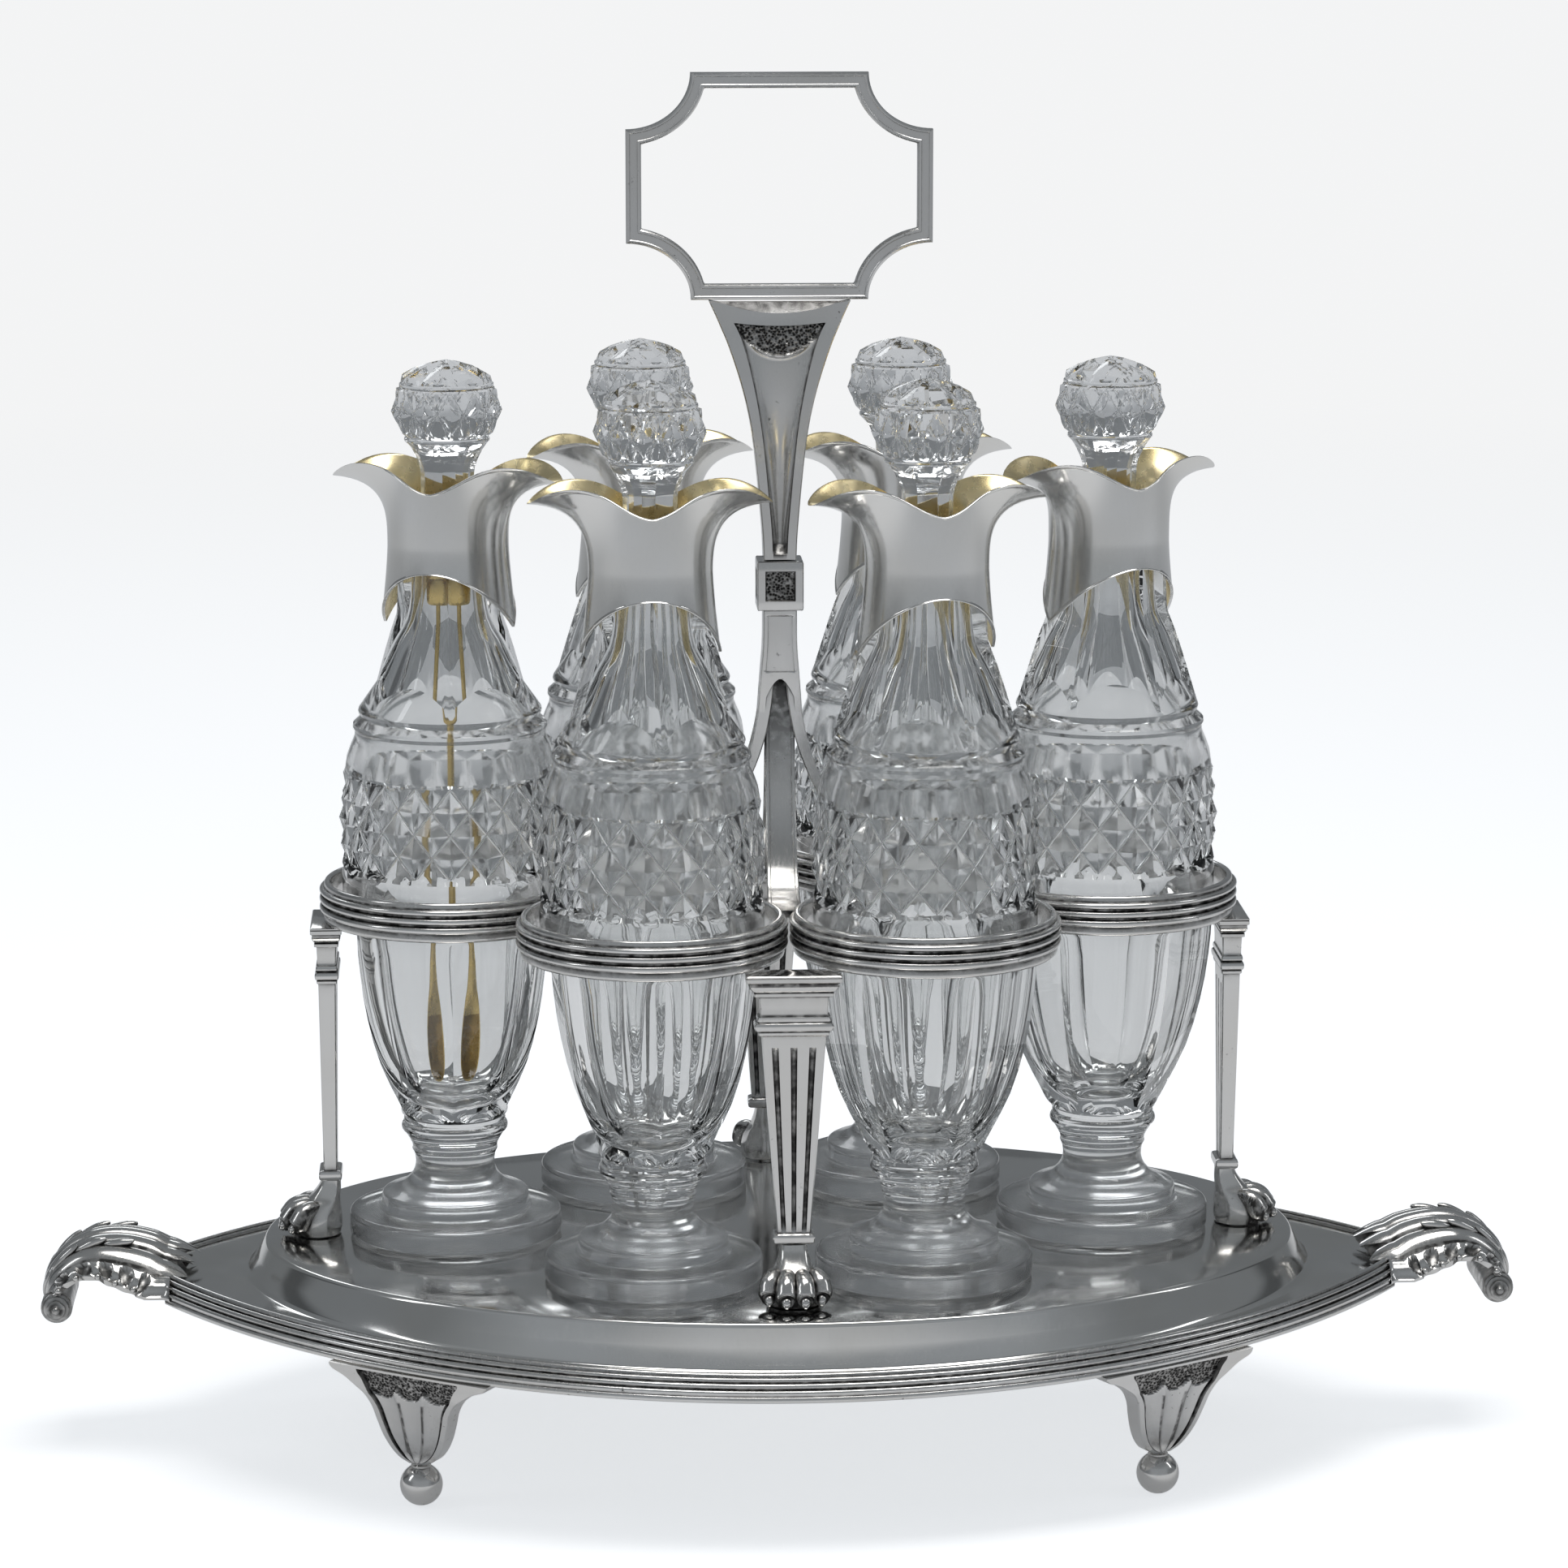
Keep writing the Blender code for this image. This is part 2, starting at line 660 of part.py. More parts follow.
make_tray()
make_rim("front_rim", -1)
make_rim("rear_rim", 1)
make_leaf_handle("left_leaf_handle", -1)
make_leaf_handle("right_leaf_handle", 1)
for y_name, y_sign in (("front", -1), ("rear", 1)):
    for x_name, x_sign in (("left", -1), ("right", 1)):
        make_foot(f"{y_name}_{x_name}", x_sign, y_sign)
for leg_name, leg_turn in LEGS.items():
    make_leg(leg_name, *leg_turn)
make_column()
make_boss()
make_handle_bracket()
make_handle_frame()
for bottle_name, (bottle_x, bottle_y, bottle_turn) in BOTTLES.items():
    make_ring(bottle_name, bottle_x, bottle_y)
    bottle = make_bottle(bottle_name, bottle_x, bottle_y, bottle_turn)
    if bottle_name == "left":
        make_spoon(bottle)
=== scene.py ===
"""The looks of the cruet set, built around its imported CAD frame: chased silver stand, cut-glass bottles with
silver neck mounts that are gilt inside, and faceted stoppers.

Meshes are written in millimetres and become metres in `add_mesh`. +X runs along the tray, -Y is the front.
"""

import math

import bmesh
import bpy
from mathutils import Matrix, Vector, noise


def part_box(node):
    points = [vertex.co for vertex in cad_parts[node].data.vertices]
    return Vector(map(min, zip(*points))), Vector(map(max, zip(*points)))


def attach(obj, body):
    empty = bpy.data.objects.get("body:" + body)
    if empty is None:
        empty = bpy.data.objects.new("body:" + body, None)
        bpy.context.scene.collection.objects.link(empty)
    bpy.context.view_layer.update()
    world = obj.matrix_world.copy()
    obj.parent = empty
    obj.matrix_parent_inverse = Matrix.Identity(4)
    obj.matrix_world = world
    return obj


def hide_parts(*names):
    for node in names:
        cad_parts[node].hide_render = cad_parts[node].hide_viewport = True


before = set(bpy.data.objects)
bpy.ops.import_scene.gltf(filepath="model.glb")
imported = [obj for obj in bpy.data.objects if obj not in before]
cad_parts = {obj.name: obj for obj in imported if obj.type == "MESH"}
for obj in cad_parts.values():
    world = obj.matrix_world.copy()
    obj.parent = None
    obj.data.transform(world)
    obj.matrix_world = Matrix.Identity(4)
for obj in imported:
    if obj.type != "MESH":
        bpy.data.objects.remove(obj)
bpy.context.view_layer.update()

MM = 0.001
TURN = 2 * math.pi
# For each bottle, in degrees: how far its lips are turned from X, and where an edge between cut panels lies.
BOTTLE_TURNS = {
    "left": (-18, 0), "front_left": (0, 5), "front_right": (12, 22),
    "right": (25, 30), "rear_left": (12, 12), "rear_right": (12, 18),
}


# ---------------------------------------------------------------- mesh tools


def box_mm(node):
    """The lowest and highest corner of a CAD node, in millimetres."""
    low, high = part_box(node)
    return low / MM, high / MM


def centre_mm(node):
    low, high = box_mm(node)
    return (low + high) / 2


def mix(a, b, share):
    return a + (b - a) * share


def smoothstep(low, high, value):
    t = min(max((value - low) / (high - low), 0.0), 1.0)
    return t * t * (3 - 2 * t)


def circle(count):
    return [TURN * k / count for k in range(count)]


def spline(a, b, c, d, t):
    """The value between b and c on a Catmull-Rom curve, where t goes from 0 to 1."""
    return 0.5 * (2 * b + (c - a) * t + (2 * a - 5 * b + 4 * c - d) * t**2 + (3 * b - a - 3 * c + d) * t**3)


def curve_through(points, steps):
    """A Catmull-Rom curve through points of any dimension, with `steps` stretches between neighbours."""
    found = []
    for i in range(len(points) - 1):
        before, after = points[max(i - 1, 0)], points[min(i + 2, len(points) - 1)]
        for k in range(steps):
            four = zip(before, points[i], points[i + 1], after)
            found.append(tuple(spline(*values, k / steps) for values in four))
    found.append(tuple(points[-1]))
    return found


def grid_faces(rows, columns, wrap_rows=False, wrap_columns=True):
    faces = []
    for r in range(rows if wrap_rows else rows - 1):
        for c in range(columns if wrap_columns else columns - 1):
            right = (c + 1) % columns
            below = (r + 1) % rows
            faces.append((r * columns + c, r * columns + right, below * columns + right, below * columns + c))
    return faces


def add_mesh(
    name, points, faces, material, body, slot, replaces=(), sharp=35, place=None, marks=None, others=()
):
    """A closed, smooth-shaded piece with sharp edges where faces turn by more than `sharp` degrees.
    marks is a value for each point, 0 to 1, of painted shade that its material darkens by. others has more
    materials, each with the faces that have it."""
    mesh = bpy.data.meshes.new(name)
    mesh.from_pydata([Vector(p) * MM for p in points], [], faces)
    mesh.materials.append(material)
    for number, (other, its_faces) in enumerate(others, 1):
        mesh.materials.append(other)
        for i in its_faces:
            mesh.polygons[i].material_index = number
    if marks:
        layer = mesh.attributes.new("shade_marks", "FLOAT", "POINT")
        layer.data.foreach_set("value", marks)
    shape = bmesh.new()
    shape.from_mesh(mesh)
    bmesh.ops.remove_doubles(shape, verts=shape.verts, dist=2e-7)
    bmesh.ops.dissolve_degenerate(shape, edges=shape.edges, dist=1e-8)
    bmesh.ops.recalc_face_normals(shape, faces=shape.faces)
    shape.to_mesh(mesh)
    shape.free()
    mesh.shade_smooth()
    mesh.set_sharp_from_angle(angle=math.radians(sharp))
    piece = bpy.data.objects.new(name, mesh)
    bpy.context.scene.collection.objects.link(piece)
    return settle(piece, body, replaces, place)


def settle(piece, body, replaces=(), place=None):
    """Puts a piece where it belongs and ties it to its CAD body."""
    if place is not None:
        piece.matrix_world = place
    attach(piece, body)
    if replaces:
        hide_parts(*replaces)
    return piece


def placed(x, y, turn=0.0, z=0.0):
    return Matrix.Translation(Vector((x, y, z)) * MM) @ Matrix.Rotation(math.radians(turn), 4, "Z")


def turned_points(outline, steps):
    return [(r * math.cos(a), r * math.sin(a), z) for r, z in outline for a in circle(steps)]


def turned(name, outline, steps, material, body, slot, replaces, ring=False, place=None, sharp=35, dark=()):
    """A solid of revolution; a ring's outline closes on itself and any other one ends on the axis. dark has
    the numbers of the outline's points that get painted shade."""
    points = turned_points(outline, steps)
    faces = grid_faces(len(outline), steps, wrap_rows=ring)
    marks = [0.9 if i in dark else 0.0 for i in range(len(outline)) for _ in range(steps)]
    return add_mesh(name, points, faces, material, body, slot, replaces, sharp, place, marks)


def loft_shell(sections, closed=False):
    """The (points, faces) through loops with as many points each, capped unless the last joins the first."""
    count = len(sections[0])
    faces = grid_faces(len(sections), count, wrap_rows=closed)
    if not closed:
        faces += [tuple(range(count)), tuple(count * (len(sections) - 1) + i for i in range(count))]
    return [p for section in sections for p in section], faces


def bead(centre, radius, start, end, steps):
    """Points of an arc in a profile, from one angle to another in degrees."""
    angles = [math.radians(mix(start, end, i / steps)) for i in range(steps + 1)]
    return [(centre[0] + radius * math.cos(a), centre[1] + radius * math.sin(a)) for a in angles]


# ---------------------------------------------------------------- materials


class Nodes:
    """A short way to write the node tree of a material, or of the world."""

    def __init__(self, owner, coordinates="Object"):
        owner.use_nodes = True
        self.owner = owner
        self.tree = owner.node_tree
        self.shader = self.tree.nodes.get("Principled BSDF")
        self.output = self.tree.nodes.get("Material Output") or self.tree.nodes.get("World Output")
        self.place = self.tree.nodes.new("ShaderNodeTexCoord").outputs[coordinates]

    def add(self, kind, settings=None, **sockets):
        node = self.tree.nodes.new(kind)
        for key, value in (settings or {}).items():
            setattr(node, key, value)
        for key, value in sockets.items():
            self.feed(node.inputs[key.replace("_", " ")], value)
        return node

    def feed(self, socket, value):
        if isinstance(value, bpy.types.NodeSocket):
            self.tree.links.new(value, socket)
        else:
            socket.default_value = value

    def noise(self, scale, detail=2.0, stretch=None, roughness=0.5):
        where = self.place
        if stretch:
            where = self.add("ShaderNodeMapping", Vector=self.place, Scale=stretch).outputs[0]
        node = self.add("ShaderNodeTexNoise", Vector=where, Scale=scale, Detail=detail, Roughness=roughness)
        return node.outputs["Fac"]

    def ramp(self, value, low, high, out_low=0.0, out_high=1.0):
        node = self.add("ShaderNodeMapRange")
        for index, number in enumerate((value, low, high, out_low, out_high)):
            self.feed(node.inputs[index], number)
        return node.outputs[0]

    def math(self, operation, a, b=0.0, clamp=True):
        node = self.add("ShaderNodeMath", {"operation": operation, "use_clamp": clamp})
        self.feed(node.inputs[0], a)
        self.feed(node.inputs[1], b)
        return node.outputs[0]

    def plain(self, operation, a, b=0.0):
        return self.math(operation, a, b, clamp=False)

    def colours(self, share, first, second):
        node = self.add("ShaderNodeMix", {"data_type": "RGBA"})
        self.feed(node.inputs[0], share)
        for index, value in ((6, first), (7, second)):
            self.feed(node.inputs[index], value if isinstance(value, bpy.types.NodeSocket) else (*value, 1))
        return node.outputs[2]

    def open_share(self, reach):
        """How open the surface is, from 0 in a crease to 1, judged over this many millimetres."""
        settings = {"samples": 6, "only_local": True}
        return self.add("ShaderNodeAmbientOcclusion", settings, Distance=reach * MM).outputs["AO"]

    def show(self, share, first, second):
        """Sends the first shader to the output, and the second one where share is 1."""
        mixed = self.add("ShaderNodeMixShader", Fac=share)
        self.feed(mixed.inputs[1], first.outputs[0])
        self.feed(mixed.inputs[2], second.outputs[0])
        self.feed(self.output.inputs["Surface"], mixed.outputs[0])

    def set(self, **sockets):
        for key, value in sockets.items():
            self.feed(self.shader.inputs[key.replace("_", " ")], value)

    def bump(self, height, distance, strength=1.0):
        node = self.add("ShaderNodeBump", Height=height, Distance=distance, Strength=strength)
        self.feed(self.shader.inputs["Normal"], node.outputs[0])


def make_silver(name, colour, gloss, shade_reach, wear=1.0, pits=0.0, groove=(0.7, 0.3)):
    """Polished silver with painted shade in its recesses, in uneven patches, where the surface is closed in
    and where its points are marked; fine wiping scratches on its faces.
    """
    n = Nodes(bpy.data.materials.new(name))
    drawn = n.add("ShaderNodeAttribute", {"attribute_name": "shade_marks"}).outputs["Fac"]
    patchy = n.noise(420.0, 4.0)
    crease = n.ramp(n.open_share(shade_reach), *groove)
    creases = n.math("MULTIPLY", crease, n.ramp(patchy, 0.3, 0.62, 0.55, 1.0))
    dark = n.math("MAXIMUM", creases, n.math("MULTIPLY", drawn, n.ramp(patchy, 0.36, 0.56, 0.5, 1.0)))
    if pits:
        specks = n.ramp(n.noise(900.0, 3.0), 0.66, 0.72)
        dark = n.math("MAXIMUM", dark, n.math("MULTIPLY", specks, n.ramp(n.noise(60.0), 0.5, 0.7, 0.0, pits)))
    yellowed = tuple(c * f for c, f in zip(colour, (0.96, 0.95, 0.93)))
    warm = n.colours(n.ramp(n.noise(35.0), 0.35, 0.65), colour, yellowed)
    n.set(Base_Color=n.colours(dark, warm, (0.018, 0.017, 0.016)), Metallic=1.0)
    scratches = n.noise(1500.0, 2.0, (1.0, 0.07, 0.35))
    clouds = n.ramp(n.noise(90.0, 3.0), 0.3, 0.7, gloss, gloss + 0.07)
    rough = n.math("ADD", clouds, n.ramp(scratches, 0.5, 0.8, 0.0, 0.05 * wear))
    n.set(Roughness=n.math("ADD", rough, n.math("MULTIPLY", dark, 0.35)))
    n.bump(scratches, 0.004 * MM * wear, 0.5)
    return n.owner


def make_matted(name, colour):
    """Silver whose ground is punched all over with small round dots and left dark."""
    n = Nodes(bpy.data.materials.new(name))
    dots = n.add("ShaderNodeTexVoronoi", Vector=n.place, Scale=1500.0, Randomness=0.9).outputs["Distance"]
    worn = n.noise(700.0, 3.0)
    share = n.math("MULTIPLY", n.ramp(dots, 0.35, 0.75), n.ramp(worn, 0.3, 0.6, 0.4, 1.0))
    n.set(Base_Color=n.colours(share, (0.02, 0.019, 0.018), colour), Metallic=1.0)
    n.set(Roughness=n.ramp(dots, 0.2, 0.6, 0.5, 0.28))
    n.bump(dots, 0.25 * MM, 0.9)
    return n.owner


def make_gilt(name, bright, dull):
    """Fire-gilt silver, pale and a little worn, with a slightly hammered skin."""
    n = Nodes(bpy.data.materials.new(name))
    patches = n.noise(140.0, 4.0)
    gold = n.colours(n.ramp(patches, 0.3, 0.7), bright, dull)
    # Painted shade, in patches, where the surface is closed in.
    painted_shade = n.math("MULTIPLY", n.ramp(n.open_share(4.0), 0.6, 0.15), n.ramp(patches, 0.3, 0.6, 0.3, 0.9))
    n.set(Base_Color=n.colours(painted_shade, gold, (0.16, 0.12, 0.05)), Metallic=1.0)
    n.set(Roughness=n.ramp(n.noise(260.0, 3.0), 0.3, 0.7, 0.2, 0.34))
    n.bump(n.noise(330.0, 3.0), 0.02 * MM, 0.4)
    return n.owner


def make_glass(name, colour, roughness=0.0, lattice=None, bending=1.54):
    """Lead crystal: clear, with slight ripples; rays from lamps pass straight through. A lattice is the
    number of columns around, the height where a row starts, the rows' height and the band's two heights, in
    millimetres: its crossing cuts have rounded, slightly dull floors."""
    n = Nodes(bpy.data.materials.new(name))
    ripple = n.noise(45.0, 2.0, (1.0, 1.0, 0.4))
    n.set(Base_Color=(*colour, 1), Roughness=roughness, IOR=bending)
    n.set(Transmission_Weight=1.0, Specular_IOR_Level=0.5)
    if lattice:
        columns, row_z, row_height, low, high = lattice
        x, y, z = n.add("ShaderNodeSeparateXYZ", Vector=n.place).outputs
        u = n.plain("MULTIPLY", n.plain("ARCTAN2", y, x), columns / TURN)
        v = n.plain("DIVIDE", n.plain("SUBTRACT", row_z * MM, z), row_height * MM)
        cuts = 0.0
        for crossing in ("ADD", "SUBTRACT"):
            place = n.plain("MULTIPLY", n.plain(crossing, u, v), 0.5)
            cuts = n.math("MAXIMUM", n.ramp(n.plain("PINGPONG", place, 0.5), 0.02, 0.05, 1.0, 0.0), cuts)
        inside = n.math("MULTIPLY", n.plain("GREATER_THAN", z, low * MM), n.plain("LESS_THAN", z, high * MM))
        cuts = n.math("MULTIPLY", cuts, inside)
        n.set(Roughness=n.ramp(cuts, 0.0, 1.0, roughness, 0.35))
        n.bump(n.plain("SUBTRACT", n.plain("MULTIPLY", ripple, 0.1), cuts), 0.3 * MM, 0.6)
    else:
        n.bump(ripple, 0.06 * MM, 0.35)
    clear = n.add("ShaderNodeBsdfTransparent", Color=(0.93, 0.94, 0.95, 1))
    n.show(n.add("ShaderNodeLightPath").outputs["Is Shadow Ray"], n.shader, clear)
    return n.owner


SILVER = make_silver("silver_polished", (0.79, 0.785, 0.775), 0.13, 1.6)
CAST_SILVER = make_silver("silver_cast", (0.69, 0.685, 0.68), 0.12, 3.0, 1.3, 0.9, (0.95, 0.55))
MIRROR_SILVER = make_silver("silver_mirror", (0.70, 0.698, 0.69), 0.08, 3.0, 0.6)
MATTED_SILVER = make_matted("silver_matted", (0.45, 0.44, 0.43))
GILT = make_gilt("gilt", (0.80, 0.66, 0.36), (0.72, 0.62, 0.40))
DEEP_GILT = make_gilt("gilt_deep", (0.66, 0.49, 0.19), (0.5, 0.38, 0.17))
# Dark gilt that paints shade in the ladle's hollow.
SHADED_GILT = make_gilt("gilt_shaded", (0.3, 0.19, 0.05), (0.16, 0.1, 0.03))
CRYSTAL_COLOUR = (0.955, 0.96, 0.96)
CRYSTAL = make_glass("crystal", CRYSTAL_COLOUR)
CUT_CRYSTAL = make_glass("crystal_cut", CRYSTAL_COLOUR, 0.0, (36, 174.2, 5.8, 151.4, 173.8))
STOPPER_LATTICE = (24, 265.3, 5.4, 260.3, 270.3)
STOPPER_CRYSTAL = make_glass("crystal_stopper", (0.92, 0.925, 0.93), 0.06, STOPPER_LATTICE, 1.42)
HAZY_CRYSTAL = make_glass("crystal_hazy", CRYSTAL_COLOUR, 0.1)
WORN_CRYSTAL = make_glass("crystal_worn", (0.78, 0.785, 0.785), 0.13)


# ---------------------------------------------------------------- cut glass

GLASS_COLUMNS = 144
PANELS = 6
LATTICE_COLUMNS = 36
DECK_Z = box_mm("bottle_left")[0].z
GLASS_TOP = box_mm("bottle_left")[1].z
# Down the outside of a bottle: height, radius over the panels' edges, and how flat they are cut (0 is round).
NECK = [
    (GLASS_TOP, 13.0, 0), (GLASS_TOP - 0.5, 13.7, 0), (GLASS_TOP - 1.5, 14.0, 0), (236, 14.1, 0),
    (231, 14.2, 0.4), (227, 14.4, 1), (220, 14.6, 1), (214, 14.95, 1), (208.5, 17.1, 1),
    (203.5, 18.8, 1),
]
ARCH = (197.7, 192.4)  # where a neck panel runs out, in its middle and at its edges
SHOULDER = [
    (190.7, 22.8), (190.0, 23.0), (189.2, 22.8), (188.3, 22.2), (187.6, 23.4), (186.8, 24.3),
    (185.9, 24.4), (184.9, 23.9), (183.6, 24.0), (181, 25.1), (178.5, 26.0), (175.2, 26.5),
]
BAND_Z = (174.2, 151.0)
BAND_ROWS = 4
DIAMOND_HEIGHT = 1.9
WAIST = [(150.0, 27.2), (148.8, 27.6), (146, 27.6), (142, 27.6), (140.5, 27.6)]
BOWL = [
    (138.6, 27.5, 0.3), (136.8, 27.5, 0.8), (134.5, 27.4, 1), (130, 27.2, 1), (125, 26.7, 1),
    (119, 25.9, 1), (113, 24.7, 1), (107, 23.2, 1), (101, 21.2, 1), (95.4, 18.6, 1), (91, 16.3, 1),
    (88.2, 14.9, 0.85), (86.9, 14.1, 0.3),
]
KNOP_AND_FOOT = (
    [(13.4, 86.2), (12.6, 85.5), (12.9, 84.7)]
    + bead((12.0, 82.7), 1.5, 62, -62, 6)
    + [(11.6, 79.6), (10.9, 78.3), (10.7, 77.3), (10.85, 76.7), (10.5, 76.0)]
    + curve_through([(10.2, 75.2), (10.0, 72.8), (10.9, 70.2), (13.2, 67.8), (16.4, 66.2)], 3)
    + bead((17.7, 64.9), 0.9, 75, 0, 4)
    + [(18.7, 62.6), (18.9, 61.9), (19.4, 61.6), (24.4, 61.4)]
    + bead((25.7, 60.0), 1.3, 82, 0, 5)
    + [(27.0, 56.6)]
    + bead((26.2, 56.0), 0.8, 0, -80, 3)
    + [(24.5, DECK_Z), (20.0, DECK_Z + 0.1), (12.0, DECK_Z + 0.9), (0, DECK_Z + 1.1)]
)
FOOT_TOP_Z = 75.5  # below this the glass is worn dull
HAZE_Z = (148, 192)  # the inside is hazy between these heights
WIDEST_Z = 170  # the inside and the outside are parted by one radius below this height and one above it
PARTING_RADII = (23.9, 22.4)
NECK_BORE = 7.2
INSIDE = [
    (0, 89.5), (5.0, 89.9), (10.5, 92.2), (16.0, 99.5), (20.3, 112), (22.9, 128), (23.6, 142),
    (23.4, 160), (21.6, 176), (18.1, 191), (12.9, 204), (8.6, 213), (NECK_BORE, 222), (NECK_BORE, 232),
    (NECK_BORE, GLASS_TOP - 0.9),
]


def flat_cut(angle, sides, depth):
    """The share of a radius that is left where `sides` flat panels are cut, with an edge at angle 0."""
    step = TURN / sides
    off = abs(angle % step - step / 2)
    return mix(1.0, math.cos(step / 2) / math.cos(off), depth)


def diamond(u, v):
    """The height, 0 to 1, of a field of pyramids whose grooves cross where u + v is even."""
    a, b = u % 1.0, v % 1.0
    return abs(1 - a - b) if (math.floor(u) + math.floor(v)) % 2 else abs(a - b)


def lattice_faces(first_row, rows, columns, per_cell):
    """Triangles for a diamond field, split along its grooves."""
    faces = []
    for r in range(rows):
        for c in range(columns):
            right = (c + 1) % columns
            a, b = (first_row + r) * columns + c, (first_row + r) * columns + right
            d, e = a + columns, (first_row + r + 1) * columns + right
            if (c // per_cell + r // per_cell) % 2:
                faces += [(a, b, d), (b, e, d)]
            else:
                faces += [(a, b, e), (a, e, d)]
    return faces


def band_rows(cell_rows, heights, per_cell, columns, ground, cut, shift=0):
    """Rows of (radius, height) for a band of diamonds. ground and cut give its radius and depth down it."""
    rows = []
    for i in range(cell_rows * per_cell + 1):
        v = i / per_cell
        z = mix(*heights, v / cell_rows)
        rows.append([(ground(v) + cut(v) * diamond(c / per_cell, v + shift), z) for c in range(columns)])
    return rows


def glass_mesh(rows, band_start, band_end, columns, per_cell):
    """The (points, faces) of rows of (radius, height), with a field of diamonds between two of the rows."""
    angles = circle(columns)
    points = [(r * math.cos(a), r * math.sin(a), z) for row in rows for (r, z), a in zip(row, angles)]
    faces = grid_faces(band_start + 1, columns)
    faces += lattice_faces(band_start, band_end - band_start, columns, per_cell)
    lower = grid_faces(len(rows) - band_end, columns)
    return points, faces + [tuple(i + band_end * columns for i in face) for face in lower]


def glass_bottle_mesh():
    """Rows of points down the outside and up the inside, as (points, faces)."""
    angles = circle(GLASS_COLUMNS)
    rows = [[(radius * flat_cut(a, PANELS, depth), z) for a in angles] for z, radius, depth in NECK]
    crease = []
    for a in angles:
        off = abs(a % (TURN / PANELS) / (TURN / PANELS) - 0.5) * 2
        z = mix(*ARCH, off**2)
        radius = mix(NECK[-1][1], SHOULDER[0][1], (NECK[-1][0] - z) / (NECK[-1][0] - SHOULDER[0][0]))
        crease.append((radius * flat_cut(a, PANELS, 1), z))
    rows.append(crease)
    rows += [[(radius, z)] * GLASS_COLUMNS for z, radius in SHOULDER]
    band_start = len(rows)
    per_cell = GLASS_COLUMNS // LATTICE_COLUMNS

    def ground(v):
        return 26.3 - 0.9 * (v / BAND_ROWS * 2 - 1.15) ** 2

    def cut(_):
        return DIAMOND_HEIGHT

    rows += band_rows(BAND_ROWS, BAND_Z, per_cell, GLASS_COLUMNS, ground, cut)
    band_end = len(rows) - 1
    rows += [[(radius, z)] * GLASS_COLUMNS for z, radius in WAIST]
    rows += [[(radius * flat_cut(a, PANELS, depth), z) for a in angles] for z, radius, depth in BOWL]
    inside = curve_through(INSIDE, 3) + [(NECK_BORE + 0.9, GLASS_TOP - 0.1)]
    rows += [[point] * GLASS_COLUMNS for point in KNOP_AND_FOOT + inside]
    points, faces = glass_mesh(rows, band_start, band_end, GLASS_COLUMNS, per_cell)
    last = (len(rows) - 1) * GLASS_COLUMNS
    for c in range(GLASS_COLUMNS):
        right = (c + 1) % GLASS_COLUMNS
        faces.append((last + c, last + right, right, c))
    return points, faces


STOPPER_COLUMNS = 96
CROWN_RIDGES = 8
# Down the crown: radius and height on its ridges, then in its valleys.
CROWN = [
    (0.0, 278.0, 0.0, 278.0), (4.0, 277.2, 4.0, 276.6), (8.0, 275.9, 7.8, 275.0),
    (11.1, 274.2, 10.7, 273.4), (11.4, 273.0, 11.1, 272.7),
]
CROWN_RIM = ((11.3, 272.4), (11.7, 272.1), (11.75, 271.6), (11.4, 271.1))
STOPPER_BELT_Z = (270.7, 259.9)
SHANK_SIDES = 8
STOPPER_TAPER = [(8.9, 255.6), (7.7, 253.2), (7.0, 251.4), (6.75, 249.5), (6.7, 241), (6.4, 230)]
STOPPER_TAPER += [(6.2, 227.6)]


def glass_stopper_mesh():
    """A star-cut crown over a belt of diamonds, a ring and an eight-sided shank."""
    per_ridge = STOPPER_COLUMNS // CROWN_RIDGES
    rows = []
    for ridge_r, ridge_z, valley_r, valley_z in CROWN:
        row = []
        for c in range(STOPPER_COLUMNS):
            share = abs(c % per_ridge / per_ridge * 2 - 1)
            row.append((mix(valley_r, ridge_r, share), mix(valley_z, ridge_z, share)))
        rows.append(row)
    rows += [[point] * STOPPER_COLUMNS for point in CROWN_RIM]
    belt_start = len(rows)
    per_cell, belt_rows = 4, 2

    def ground(v):
        return 12.4 - (0.7 if v < 1 else 1.8) * (v - 1.0) ** 2

    def cut(v):
        return 1.45 - 0.45 * abs(v - 1.0)

    rows += band_rows(belt_rows, STOPPER_BELT_Z, per_cell, STOPPER_COLUMNS, ground, cut, shift=1)
    belt_end = len(rows) - 1
    ring = [(10.5, 259.1)] + bead((9.9, 258.2), 0.75, 60, -60, 4)
    rows += [[point] * STOPPER_COLUMNS for point in ring]
    angles = circle(STOPPER_COLUMNS)
    rows += [[(r * flat_cut(a, SHANK_SIDES, 1), z) for a in angles] for r, z in STOPPER_TAPER]
    rows += [[point] * STOPPER_COLUMNS for point in ((5.8, 227.1), (0, 227.0))]
    return glass_mesh(rows, belt_start, belt_end, STOPPER_COLUMNS, per_cell)


# ---------------------------------------------------------------- neck mounts

MOUNT_COLUMNS = 120
MOUNT_SHEET = 0.6
MOUNT_RADIUS = 15.1
MOUNT_LOW_Z = 211.5
MOUNT_ARCH = 14.5  # how high its lower edge arches at the front and the back
MOUNT_RIM_Z = 246.0
LIP_RISE = 8.6
LIP_DROOP = 6.6
LIP_REACH = 14.6


def mount_point(angle, height, inset):
    """A point of the sleeve. height is 0 on its arched lower edge and 1 on its rim."""
    lip = abs(math.cos(angle))
    bottom = MOUNT_LOW_Z + MOUNT_ARCH * abs(math.sin(angle))
    droop = LIP_DROOP * lip**20 * max(0.0, (height - 0.5) / 0.5) ** 3
    z = mix(bottom, MOUNT_RIM_Z + LIP_RISE * lip**1.5, height) - droop
    collar = MOUNT_RADIUS + 1.9 * max(0.0, (232.0 - z) / 20.0) ** 1.4
    flare = max(0.0, (height - 0.42) / 0.58) ** 3.0
    radius = collar + LIP_REACH * lip**7 * flare - inset
    return radius * math.cos(angle), radius * math.sin(angle), z


